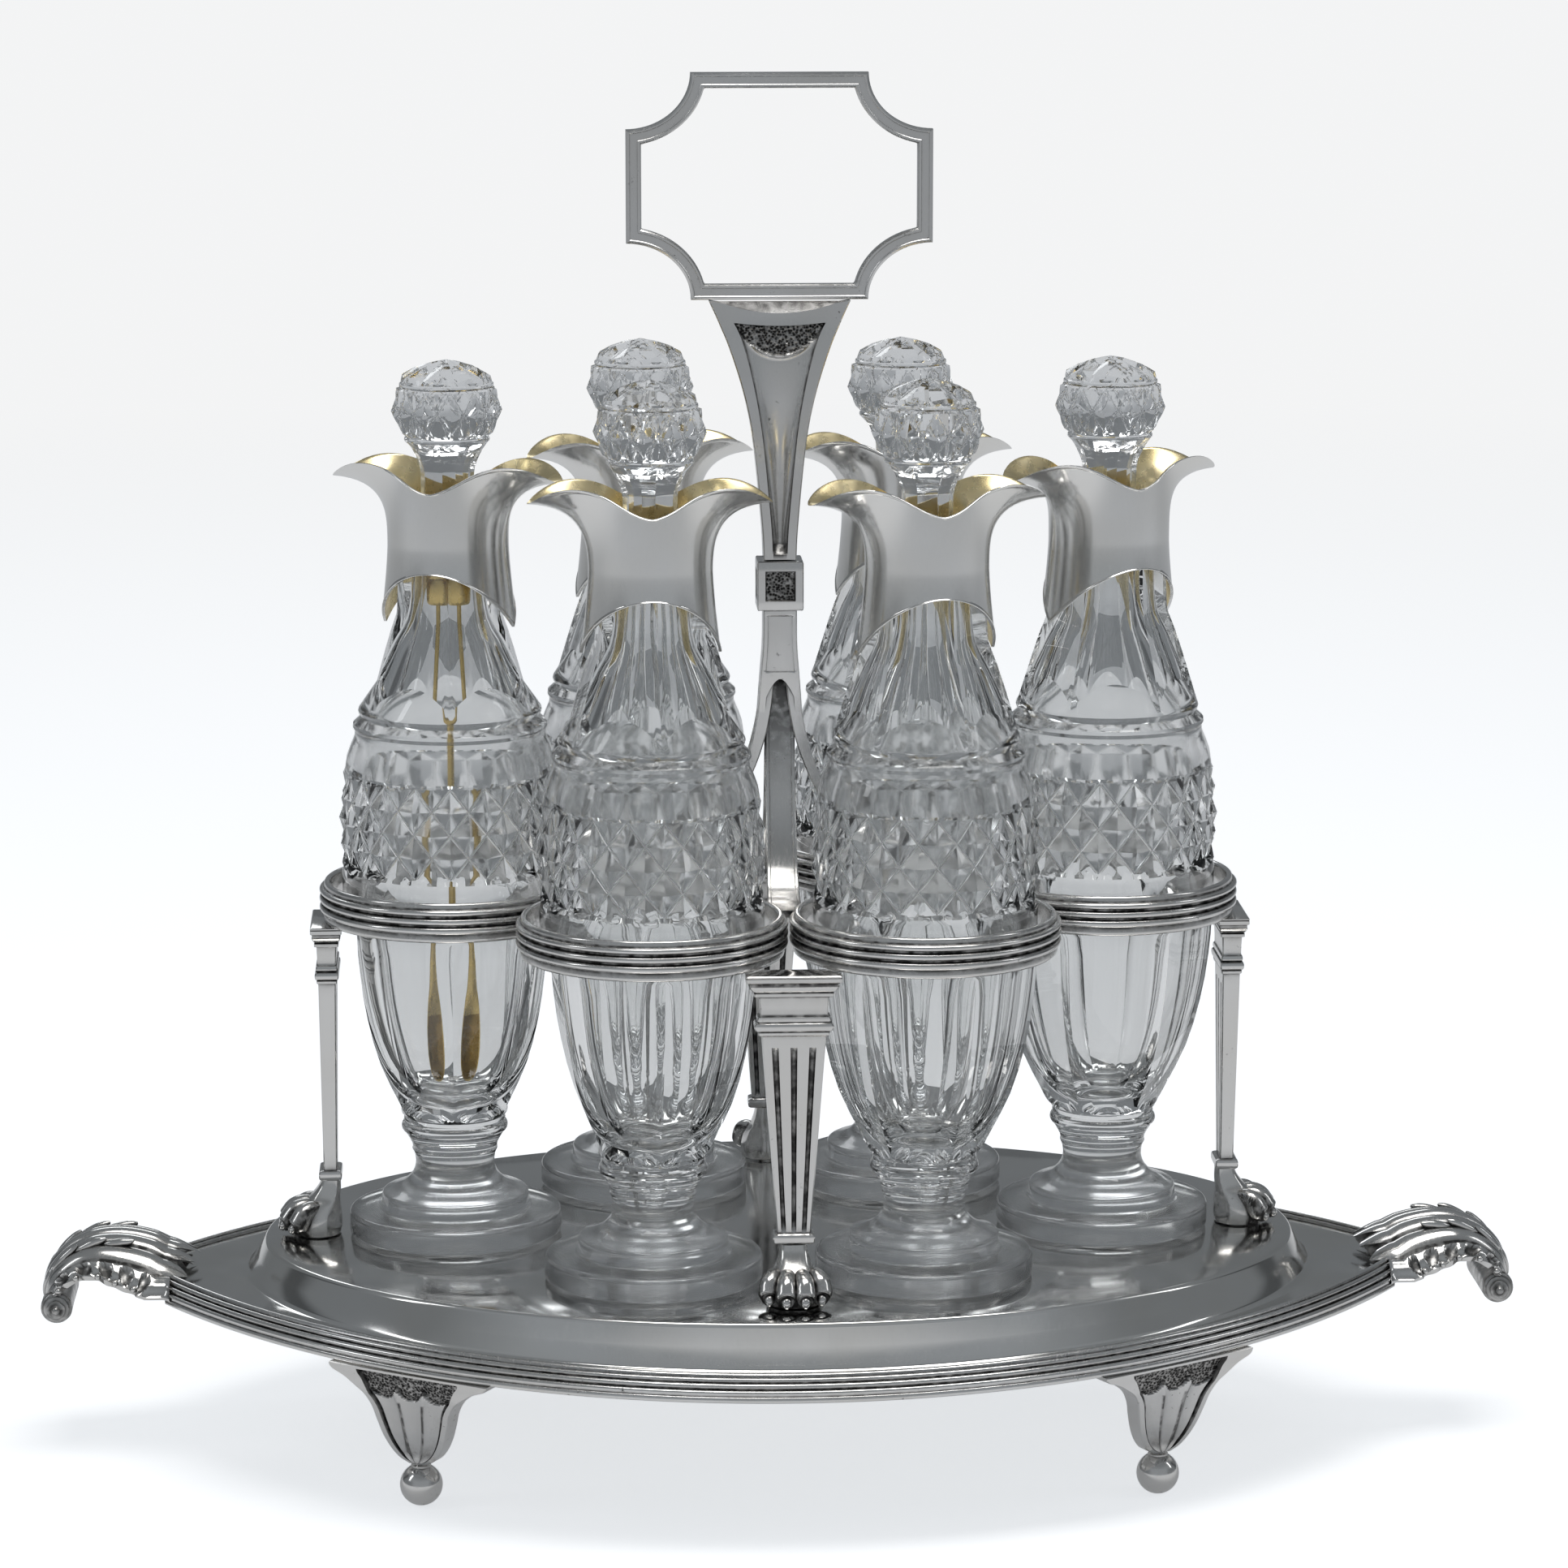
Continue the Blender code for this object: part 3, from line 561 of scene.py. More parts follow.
def mount_mesh():
    """(points, faces, the faces of the gilt inner skin)."""
    rows = 30
    outer = [(i / rows, 0.0) for i in range(rows + 1)]
    outer[:1] = [(0.0, 0.25), (0.0, -0.12), (0.006, -0.22), (0.014, -0.12), (0.018, 0.0)]
    outer[-1:] = [(0.975, 0.0), (0.98, -0.14), (0.99, -0.22), (1.0, -0.1)]
    inner = [(h, MOUNT_SHEET) for h, _ in reversed(outer)]
    stations = outer + [(1.004, 0.25)] + inner
    points = [mount_point(a, height, inset) for height, inset in stations for a in circle(MOUNT_COLUMNS)]
    faces = grid_faces(len(stations), MOUNT_COLUMNS, wrap_rows=True)
    first_inner = len(outer) * MOUNT_COLUMNS
    gilt_faces = range(first_inner, len(faces) - MOUNT_COLUMNS)
    return points, faces, gilt_faces


def make_bottles():
    points, faces = glass_bottle_mesh()
    foot, hazy, cut = [], [], []
    for i, face in enumerate(faces):
        if max(points[p][2] for p in face) < FOOT_TOP_Z:
            foot.append(i)
        x, y, z = points[face[0]]
        inner = math.hypot(x, y) < PARTING_RADII[z >= WIDEST_Z]
        if inner and HAZE_Z[0] < z < HAZE_Z[1]:
            hazy.append(i)
        elif not inner and BAND_Z[1] - 1 < z < BAND_Z[0] + 1:
            cut.append(i)
    worn = [(WORN_CRYSTAL, foot), (HAZY_CRYSTAL, hazy), (CUT_CRYSTAL, cut)]
    *mount, gilt_faces = mount_mesh()
    stopper = glass_stopper_mesh()
    for name, (lip_turn, panel_turn) in BOTTLE_TURNS.items():
        axis = centre_mm(f"bottle_{name}")
        turns = (panel_turn - 90, lip_turn, lip_turn + 8)
        panels, lips, star = (placed(axis.x, axis.y, turn) for turn in turns)
        body = f"{name}_bottle"
        add_mesh(
            f"glass_{name}", points, faces, CRYSTAL, body, "cut_glass", [f"bottle_{name}"],
            sharp=20, place=panels, others=worn,
        )
        add_mesh(
            f"neck_mount_{name}", *mount, SILVER, body, "silver", [f"mount_{name}"],
            sharp=50, place=lips, others=[(GILT, gilt_faces)],
        )
        add_mesh(
            f"glass_stopper_{name}", *stopper, STOPPER_CRYSTAL, f"{name}_stopper", "cut_glass",
            [f"stopper_{name}"], sharp=15, place=star,
        )


# ---------------------------------------------------------------- ring frame


def make_rings():
    low, high = box_mm("ring_left")
    top, bottom = high.z, low.z
    outer = (high.x - low.x) / 2
    bore = outer - 2.8
    outline = bead((bore + 0.8, top - 0.8), 0.8, 180, -10, 8)
    outline += [(outer - 1.15, top - 1.3)]
    # dark has the outline's points that get painted shade, in the grooves beside the reeds.
    dark = [len(outline) - 1]
    for drop, reed in ((2.35, 0.72), (4.55, 0.85), (6.85, 0.95)):
        dark.append(len(outline))
        outline += [(outer - 1.1, top - drop + reed + 0.12)]
        outline += bead((outer - reed, top - drop), reed, 84, -84, 8)
        dark.append(len(outline))
        outline += [(outer - 1.1, top - drop - reed - 0.12)]
    outline += bead((bore + 1.15, bottom + 0.75), 0.75, 20, -150, 6)
    outline += [(bore, bottom + 1.2)]
    for name in BOTTLE_TURNS:
        axis = centre_mm(f"ring_{name}")
        turned(
            f"reeded_ring_{name}", outline, 128, CAST_SILVER, "stand", "silver", [f"ring_{name}"],
            ring=True, place=placed(axis.x, axis.y), sharp=50, dark=dark,
        )


# ---------------------------------------------------------------- tray


def stand_piece(name, shell, node, sharp, marks=None, place=None, others=(), material=CAST_SILVER):
    """A silver piece of the stand, from a shell of (points, faces), which stands for one CAD node."""
    add_mesh(name, *shell, material, "stand", "silver", [node], sharp, place, marks, others)


TRAY_COLUMNS = 192
TRAY_BOX = box_mm("tray")
RIM_WIDTH = 5.2
SHEET = 1.4
DECK_TOP = TRAY_BOX[1].z
DECK_HALF = (131.0, 88.0)
DECK_BASE_HALF = (136.0, 89.3)
TRAY_ARC = 191.0
TRAY_ARC_SHIFT = 91.0
FLOOR_Z = 43.0
END_RISE = 4.0


def rise(x):
    """How much higher the tray stands at this distance from its middle."""
    return END_RISE * x * x / (TRAY_ARC**2 - TRAY_ARC_SHIFT**2)


def tray_half_width(x, inset):
    return math.sqrt(max((TRAY_ARC - inset) ** 2 - x**2, 0.0)) - TRAY_ARC_SHIFT


def make_tray():
    """A floor that follows the rim, and a raised deck with a rounded edge on which the bottles stand."""
    inset = RIM_WIDTH + 0.1
    tip_x = math.sqrt((TRAY_ARC - inset) ** 2 - TRAY_ARC_SHIFT**2)
    # From the deck outwards: how far down the wall (0 deck, 1 floor), and how far out between its two edges.
    wall = [(0.0, -0.35), (0.0, -0.008), (0.015, -0.003), (0.05, 0.02), (0.1, 0.08), (0.5, 0.45)]
    wall += [(0.88, 0.85), (0.95, 0.98), (0.985, 1.15), (1.0, 1.4)]
    rows = [[(0, 0, DECK_TOP)] * TRAY_COLUMNS]
    for depth, out in wall:
        half_x, half_y = (
            mix(deck, base, out) if out >= 0 else deck * (1 + out)
            for deck, base in zip(DECK_HALF, DECK_BASE_HALF)
        )
        row = []
        for a in circle(TRAY_COLUMNS):
            x, y = half_x * math.cos(a), half_y * math.sin(a)
            row.append((x, y, mix(DECK_TOP, FLOOR_Z + rise(x), depth)))
        rows.append(row)
    edge = []
    for i, a in enumerate(circle(TRAY_COLUMNS)):
        x = tip_x * math.cos(a)
        side = math.copysign(1, math.sin(a)) if i % (TRAY_COLUMNS // 2) else 0
        edge.append((x, side * tray_half_width(x, inset), FLOOR_Z + rise(x)))
    base = rows[-1]
    for share in (0.33, 0.66, 1.0):
        row = [tuple(mix(p, q, share) for p, q in zip(a, b)) for a, b in zip(base, edge)]
        rows.append([(x, y, FLOOR_Z + rise(x)) for x, y, _ in row])
    under = [[(x, y, z - SHEET) for x, y, z in row] for row in reversed(rows)]
    points = [p for row in rows + under for p in row]
    shell = points, grid_faces(len(rows) * 2, TRAY_COLUMNS)
    stand_piece("tray_and_deck", shell, "tray", 40, material=MIRROR_SILVER)


def make_rim(node, side):
    """A reeded edge along one of the tray's arcs: a flat outer face, three reeds and a plain inner band."""
    low, high = box_mm(node)
    end_x = high.x
    base_z = low.z
    profile = [(0.5, 0.0), (0.12, 0.25), (0.05, 1.3), (0.22, 1.5), (0.45, 1.6)]
    # dark has the profile's points that get painted shade: below the first reed, between the reeds and under
    # the top bead.
    dark = [4]
    for inset, height, radius in ((0.95, 2.35, 0.7), (2.0, 3.7, 0.76), (3.1, 4.9, 0.68)):
        profile += [(inset - r, height + h) for r, h in bead((0, 0), radius, -15, 150, 8)]
        dark.append(len(profile))
        profile.append((inset + radius * 0.95, height + 0.12))
    profile += [(3.85, 5.7), (4.1, 6.1), (4.5, 6.35), (4.8, 6.35), (5.0, 6.15), (5.02, 5.85), (4.8, 5.65)]
    dark.append(len(profile) - 1)
    profile += [(5.1, 5.45), (RIM_WIDTH, 5.2), (RIM_WIDTH, 4.4), (3.7, 1.2)]
    steps = 96
    sections = []
    for i in range(steps + 1):
        x = end_x * math.sin(math.pi / 2 * (2 * i / steps - 1))
        section = []
        for inset, height in profile:
            section.append((x, side * tray_half_width(x, inset), base_z + rise(x) + height))
        sections.append(section)
    marks = [0.65 if i in dark else 0.0 for i in range(len(profile))] * len(sections)
    stand_piece(f"reeded_{node}", loft_shell(sections), node, 50, marks)


# ---------------------------------------------------------------- chased and cast pieces

CHAMFER = 0.3
MATT_GROUND = 1.0  # a mark of this much is punched ground; less is painted shade only


def joined(*shells):
    """Several (points, faces) as one."""
    points, faces = [], []
    for shell_points, shell_faces in shells:
        start = len(points)
        points += shell_points
        faces += [tuple(i + start for i in face) for face in shell_faces]
    return points, faces


def tube(path, count):
    """A shell of round sections square to a path, whose points are (x, y, z, radius)."""
    sections = []
    for i, (*centre, radius) in enumerate(path):
        centre = Vector(centre)
        along = Vector(path[min(i + 1, len(path) - 1)][:3]) - Vector(path[max(i - 1, 0)][:3])
        side = along.cross(Vector((0.31, 0.83, 0.47))).normalized()
        other = along.cross(side).normalized()
        spokes = [side * math.cos(a) + other * math.sin(a) for a in circle(count)]
        sections.append([tuple(centre + spoke * radius) for spoke in spokes])
    return loft_shell(sections)


def with_radii(path, radii):
    return [(*point, radius) for point, radius in zip(path, radii)]


def post(levels, columns, relief, all_sides=False):
    """Sections of a four-sided post with chamfered corners, and the mark of each point. levels are (height,
    half width, half depth), columns gives the places across a face of some half width, and relief gives how
    far the face lies in and its mark at (offset, half width, height)."""
    sections, marks = [], []
    for z, half_x, half_y in levels:
        section = []
        for turn in range(4):
            half_along, half_out = (half_y, half_x) if turn % 2 else (half_x, half_y)
            chased = all_sides or turn % 2 == 0
            edge = half_along - CHAMFER
            for offset in columns(half_along) if chased else (-edge, edge):
                depth, mark = relief(offset, half_along, z) if chased else (0, 0)
                x, y = offset, depth - half_out
                for _ in range(turn):
                    x, y = -y, x
                section.append((x, y, z))
                marks.append(mark)
        sections.append(section)
    return sections, marks


def mirrored(offsets):
    return [-x for x in reversed(offsets)] + list(offsets)


def chased_post(name, levels, columns, relief, node, all_sides=False, sharp=32, move=None):
    """A post of the stand whose punched grounds are matted. move carries its points somewhere else."""
    sections, marks = post(levels, columns, relief, all_sides)
    points, faces = loft_shell(sections)
    if move:
        points = [move(p) for p in points]
    grounds = [i for i, face in enumerate(faces) if all(marks[p] == MATT_GROUND for p in face)]
    stand_piece(name, (points, faces), node, sharp, marks, others=[(MATTED_SILVER, grounds)])


def pebbles(x, z, height):
    """Unevenness for a punched ground."""
    return height * noise.noise((x * 1.7, 0.3, z * 1.7))


def between(table, value):
    """Smooth values of a table of (position, values...) that runs from high positions to low ones."""
    fine = curve_through(table, 8)
    for upper, lower in zip(fine, fine[1:]):
        if value >= lower[0]:
            share = (value - lower[0]) / (upper[0] - lower[0])
            return [mix(b, a, min(share, 1.0)) for a, b in zip(upper[1:], lower[1:])]
    return list(fine[-1][1:])


# ---------------------------------------------------------------- handle, bracket, boss and column

HANDLE_LOW, HANDLE_HIGH = box_mm("handle_frame")
BRACKET_LOW, BRACKET_HIGH = box_mm("handle_bracket")
BOSS_LOW, BOSS_HIGH = box_mm("column_boss")
COLUMN_HIGH = box_mm("column")[1]


def make_handle():
    """A bevelled bar bent into an oblong with hollowed corners."""
    bar = 3.8
    half_top, half_side, side_half_height = 22.0, HANDLE_HIGH.x, 14.0  # the straight stretches
    half_height = (HANDLE_HIGH.z - HANDLE_LOW.z) / 2
    middle_z = (HANDLE_HIGH.z + HANDLE_LOW.z) / 2
    steps = 20

    def outline(inset):
        radius_x = half_side - half_top + inset
        radius_z = half_height - side_half_height + inset
        quarter = []
        for i in range(steps + 1):
            a = math.pi / 2 * i / steps
            x = min(half_side - inset, half_side - radius_x * math.sin(a))
            z = min(half_height - inset, half_height - radius_z * math.cos(a))
            quarter.append((x, z))
        quarter[0] = (half_side - inset, quarter[0][1])
        quarter[-1] = (quarter[-1][0], half_height - inset)
        upper = quarter + [(-x, z) for x, z in reversed(quarter)]
        return upper + [(-x, -z) for x, z in upper]

    half = bar / 2
    front = [(0.0, 0.55 - half), (0.16, 0.2 - half), (0.55, -half), (0.85, -half), (1.0, 0.14 - half)]
    front += [(bar - 1.0, 0.14 - half), (bar - 0.85, -half), (bar - 0.35, -half), (bar, 0.4 - half)]
    section = front + [(inset, -y) for inset, y in reversed(front)]
    loops = [[(x, y, middle_z + z) for x, z in outline(inset)] for inset, y in section]
    stand_piece("handle_bar", loft_shell(loops, closed=True), "handle_frame", 18)


def make_bracket():
    """A plate that flares up to the handle, with a long flute and a punched crescent on both faces."""
    top = BRACKET_HIGH.z
    low = BRACKET_LOW.z
    sizes = [
        (top, 17.6, 2.1), (286.0, 14.8, 2.3), (280.0, 12.4, 2.6), (271.0, 9.5, 3.0),
        (262.0, 7.4, 3.3), (252.0, 6.0, 3.6), (236.0, 4.5, 3.9), (low, 4.1, 4.0),
    ]
    flute_end = low + 1.8
    ground_top = 287.2
    ground_drop = 7.4

    def border(half):
        return 2.3 + 1.7 * smoothstep(5, 15, half)

    def columns(half):
        inner = half - border(half)
        field = [inner * (k + 0.5) / 14 for k in range(14)]
        return mirrored(field + [inner, inner + 0.3, half - CHAMFER])

    def relief(x, half, z):
        inner = half - border(half)
        t = x / inner
        # Painted shade along the flute's edges, at its foot and just below it.
        if abs(t) > 0.999 or z < flute_end or z > ground_top:
            return 0.0, 0.9 if abs(t) < 0.95 and flute_end - 1.3 < z < flute_end else 0.0
        edge = ground_top - 1.0 - ground_drop * math.sqrt(1 - t * t)
        if z > edge:
            return 1.15 + pebbles(x, z, 0.3), MATT_GROUND
        end = smoothstep(flute_end, flute_end + 1.0, z)
        lip = 1 - smoothstep(edge - 1.4, edge - 0.2, z)
        deep = mix(1.7, 0.85, smoothstep(248, 280, z))
        mark = 0.9 if abs(t) > 0.9 or z < flute_end + 2.5 else 0.0
        return (0.4 + deep * (1 - t**2) ** 0.7 * mix(0.25, 1.0, lip)) * end, mark

    def scooped(point):
        x, y, z = point
        half_chord, depth = 15.4, 3.0
        radius = (half_chord**2 + depth**2) / (2 * depth)
        drop = depth - (radius - math.sqrt(radius**2 - x * x)) if abs(x) < half_chord else 0.0
        return x, y, z - max(drop, 0.0) * smoothstep(283, top, z)

    heights = [mix(low, 275, i / 40) for i in range(40)] + [mix(275, top, i / 48) for i in range(49)]
    levels = [(z, *between(sizes, z)) for z in heights]
    chased_post("bracket", levels, columns, relief, "handle_bracket", move=scooped, sharp=28)


def make_boss():
    """A square block with a punched panel sunk in each side."""
    half = BOSS_HIGH.x
    panel = 3.5
    middle_z = (BOSS_LOW.z + BOSS_HIGH.z) / 2

    places = [0.4, 1.2, 2.0, 2.8, panel - 0.05, panel + 0.3]

    def columns(_):
        return mirrored([*places, half - CHAMFER])

    def relief(x, _, z):
        reach = max(abs(x), abs(z - middle_z))
        if reach > panel:
            return 0.0, 0.0
        return 1.0 + pebbles(x, z, 0.25), MATT_GROUND

    shrink = ((0.0, 0.5), (0.15, 0.15), (0.5, 0.0))  # how far from an end, and how much narrower there
    levels = [(BOSS_LOW.z + up, half - less, half - less) for up, less in shrink]
    levels += [(middle_z + z, half, half) for z in mirrored(places)]
    levels += [(BOSS_HIGH.z - down, half - less, half - less) for down, less in reversed(shrink)]
    chased_post("boss", levels, columns, relief, "column_boss", all_sides=True)


def arm_shell(angle, start, reach, widths, darkened):
    """A strap along a quarter ellipse, thick where it leaves the stem, with a narrow flat border on both
    faces: its shell and its marks. A darkened one has painted shade where it comes out of the fork."""
    top_z, end_z = 200.0, 142.5
    a = math.radians(angle)
    outwards = Vector((math.cos(a), math.sin(a), 0))
    across = Vector((-math.sin(a), math.cos(a), 0))
    steps = 40
    sections, marks = [], []
    for i in range(steps + 1):
        t = math.pi / 2 * i / steps
        thick = 1.1 if darkened else mix(1.6, 0.95, smoothstep(0.1, 0.55, i / steps))
        out = start + (reach - start) * (1 - math.cos(t))
        centre = outwards * out + Vector((0, 0, top_z - (top_z - end_z) * math.sin(t)))
        along = outwards * (reach - start) * math.sin(t) - Vector((0, 0, (top_z - end_z) * math.cos(t)))
        normal = along.normalized().cross(across)
        half = mix(*widths, (i / steps) ** 3)
        face = [(-half, thick - 0.3), (0.3 - half, thick), (0.8 - half, thick), (1.05 - half, thick - 0.25)]
        face += [(-w, n) for w, n in reversed(face)]
        loop = face + [(-w, -n) for w, n in face]
        sections.append([tuple(centre + across * w + normal * n) for w, n in loop])
        marks += [0.8 * (1 - smoothstep(0.06, 0.4, i / steps)) * darkened] * len(loop)
    return loft_shell(sections), marks


def make_column():
    """The stem under the boss, which forks into two side arms around a front and a rear strap."""
    stem = [(COLUMN_HIGH.z, 4.2, 4.2), (206.0, 4.3, 4.2), (198.0, 4.9, 4.0), (189.0, 5.6, 3.4)]
    fork_half = 4.95  # the stem's half width where its fork opens

    def opening(half):
        return (half - 1.9) * math.sqrt(max(0.0, min(1.0, (half - fork_half) / 0.35)))

    def columns(half):
        hollow = max(opening(half), 0.25)
        plain = half - 1.3
        inner = [hollow * 0.5, hollow * 0.98, hollow + 0.12, mix(hollow, plain, 0.5), plain]
        return mirrored([*inner, half - 1.05, half - CHAMFER])

    def relief(x, half, z):
        # The fork's deep opening gets painted shade.
        if abs(x) < opening(half):
            return 2.6, 0.95
        if half < fork_half - 0.15 and z < COLUMN_HIGH.z - 1.2 and abs(x) < half - 1.1:
            return 0.2, 0.0
        return 0.0, 0.0

    heights = [mix(COLUMN_HIGH.z, 189.0, i / 76) for i in range(77)]
    sections, marks = post([(z, *between(stem, z)) for z in heights], columns, relief)
    side_reach = COLUMN_HIGH.x
    shells = [loft_shell(sections)]
    front_strap, side_arm = (0.4, 28.2, (3.7, 4.4), 1), (3.1, side_reach, (3.4, 3.9), 0)
    for angle, strap in ((-90, front_strap), (90, front_strap), (180, side_arm), (0, side_arm)):
        shell, its_marks = arm_shell(angle, *strap)
        shells.append(shell)
        marks += its_marks
    stand_piece("column_and_arms", joined(*shells), "column", 30, marks)


# ---------------------------------------------------------------- legs

LEGS = {"front": (0, -67.8, 0), "right": (114.4, 0, 90), "rear": (0, 67.8, 180), "left": (-114.4, 0, 270)}
LEG_TOP = box_mm("leg_front")[1].z
ANKLE_Z = 69.0
# Down a leg's capital: how far under its top, half width, and how much painted shade it has there.
CAPITAL = [
    (0.0, 11.3, 0.0), (0.2, 11.7, 0.0), (0.45, 11.7, 0.0), (0.6, 11.5, 0.8), (0.75, 11.7, 0.0),
    (1.6, 11.7, 0.0), (1.8, 11.3, 0.9), (2.1, 10.7, 0.95), (2.7, 10.7, 0.7), (2.8, 10.9, 0.0),
    (3.3, 10.6, 0.0), (3.9, 10.0, 0.0), (4.1, 9.6, 0.9), (4.4, 9.4, 0.9), (4.5, 9.7, 0.0),
    (5.2, 9.7, 0.0), (5.35, 9.2, 0.6), (5.5, 8.6, 0.7), (5.8, 8.45, 0.1), (8.0, 8.25, 0.0),
    (9.6, 8.2, 0.1), (10.0, 8.2, 0.85), (10.3, 8.3, 0.9), (10.4, 8.8, 0.0), (11.1, 9.0, 0.0),
    (11.45, 8.9, 0.0), (11.65, 8.6, 0.9), (11.9, 8.9, 0.9), (12.05, 9.3, 0.0), (12.5, 9.6, 0.0),
    (13.0, 9.65, 0.0), (13.6, 9.4, 0.0), (13.95, 8.9, 0.9), (14.15, 8.5, 0.9), (14.3, 8.7, 0.0),
    (14.9, 8.6, 0.0), (15.1, 8.2, 0.7), (15.3, 7.8, 0.0),
]
CAPITAL_DROP = 15.6
COLLAR_HEIGHT = 2.9
SHAFT_HALF = (7.8, 4.1)  # the pilaster's half width at its top and its foot
CAPITAL_MARKS = {LEG_TOP - drop: mark for drop, _, mark in CAPITAL}


def leg_levels():
    """Down a leg: the moulded capital, the tapering pilaster and the collar at its foot."""
    levels = [(LEG_TOP - drop, half, 2.2 + (half - SHAFT_HALF[0]) * 0.45) for drop, half, _ in CAPITAL]
    shaft_top, shaft_foot = LEG_TOP - CAPITAL_DROP, ANKLE_Z + COLLAR_HEIGHT
    for i in range(61):
        share = i / 60
        levels.append((mix(shaft_top, shaft_foot, share), mix(*SHAFT_HALF, share), mix(2.2, 1.7, share)))
    collar = [(2.85, 4.6, 2.4), (2.6, 4.95, 2.75), (2.1, 5.1, 2.9)]
    collar += [(1.1, 5.1, 2.9), (0.6, 4.95, 2.75), (0.3, 4.6, 2.4)]
    return levels + [(ANKLE_Z + up, w, d) for up, w, d in collar]


def flutes(half):
    """The middles of a leg's three flutes across a face of this half width, and their own half width."""
    return (-0.6 * half, 0.0, 0.6 * half), max(0.11 * half, 0.6)


def leg_columns(half):
    centres, flute = flutes(half)
    places = [-half + CHAMFER]
    for centre in centres:
        places += [centre + flute * t for t in (-1.0, -0.8, -0.45, 0.0, 0.45, 0.8, 1.0)]
    return places + [half - CHAMFER]


def leg_relief(x, half, z):
    centres, flute = flutes(half)
    top, foot = LEG_TOP - 18.4, ANKLE_Z + 3.6
    if not foot < z < top:
        return 0.0, CAPITAL_MARKS.get(z, 0.0)
    nearest = min(centres, key=lambda centre: abs(x - centre))
    t = (x - nearest) / flute
    if abs(t) >= 0.99:
        return 0.0, 0.0
    end = math.sqrt(min(1.0, (top - z) / 1.2, (z - foot) / 1.2))
    # The flutes' floors get painted shade.
    return 0.95 * math.sqrt(1 - t * t) * end, 0.8


def make_toe(x, y):
    """A toe that ends at x, y in a hollow for its claw: its shell and its marks, which paint shade along its
    sides and in the hollow.
    """
    path = [(x * 0.66, y * 0.42, 62.6), (x * 0.8, y * 0.66, 62.1), (x * 0.95, y * 0.88, 60.9), (x, y, 59.2)]
    path += [(x, y - 0.7, 58.2), (x, y - 1.2, 57.7), (x, y - 1.3, 57.65), (x, y - 0.5, 57.8)]
    fine = curve_through(with_radii(path, (1.3, 2.1, 2.5, 2.65, 2.6, 2.15, 1.7, 1.3)), 5)
    count = 28
    shell = tube(fine, count)
    marks = []
    for i, (middle_x, _, _, radius) in enumerate(fine):
        for k in range(count):
            beside = abs(shell[0][i * count + k][0] - middle_x) > 0.86 * radius
            hollow = i >= len(fine) - 10
            marks.append(0.95 if beside or hollow else 0.0)
    return shell, marks


def make_legs():
    ankle = [
        (ANKLE_Z, 3.3, 2.6, 0.0), (67.6, 3.5, 2.8, 0.2), (66.0, 3.9, 3.3, 0.7), (64.3, 4.5, 4.0, 1.5),
        (62.6, 5.6, 4.9, 2.4), (60.0, 6.6, 5.9, 3.2), (57.0, 6.9, 6.2, 3.4), (54.9, 6.4, 5.7, 3.3),
    ]
    for name, place in LEGS.items():
        here = placed(*place)
        sections, marks = post(leg_levels(), leg_columns, leg_relief)
        stand_piece(f"fluted_leg_{name}", loft_shell(sections), f"leg_{name}", 30, marks, here)
        body, marks = [], []
        for z, w, d, out in curve_through(ankle, 4):
            loop = []
            for a in circle(32):
                c, s = math.cos(a), math.sin(a)
                square = 1 / (abs(c) ** 4 + abs(s) ** 4) ** 0.25
                squareness = smoothstep(60, 66, z)
                size = mix(1.0, square * 0.96, squareness)
                loop.append((w * c * size, d * s * size - out, z))
                # Painted shade low on the paw's front, where the toes spring.
                marks.append(0.95 if z < 61.8 and s < -0.2 else 0.0)
            body.append(loop)
        shells = [loft_shell(body)]
        for x, y in ((-6.3, -7.8), (-2.3, -10.4), (2.3, -10.4), (6.3, -7.8)):
            shell, its_marks = make_toe(x, y)
            shells.append(shell)
            marks += its_marks
            claw = [(x, y - 0.8, 57.9), (x, y - 1.7, 57.4), (x, y - 2.1, 56.6), (x, y - 2.1, 55.9)]
            fine = curve_through(with_radii(claw, (1.2, 1.25, 1.0, 0.45)), 4)
            shells.append(tube(fine, 12))
            marks += [0.0] * (12 * len(fine))
        stud_low = box_mm(f"paw_{name}")[0].z
        thread = [(0, stud_low), (1.6, stud_low)]
        turns = 14
        for k in range(turns):
            z = mix(stud_low + 0.3, 54.6, k / turns)
            thread += [(1.75, z), (2.0, z + 0.22)]
        thread += [(2.0, 55.6), (0, 55.8)]
        shells.append((turned_points(thread, 20), grid_faces(len(thread), 20)))
        paw = joined(*shells)
        marks += [0.0] * (len(paw[0]) - len(marks))
        stand_piece(f"lion_paw_{name}", paw, f"paw_{name}", 40, marks, here)


# ---------------------------------------------------------------- feet

FOOT_CENTRE = (93.0, 73.0)
BALL_CENTRE = (91.5, 55.2)
BALL_RADIUS = 5.3


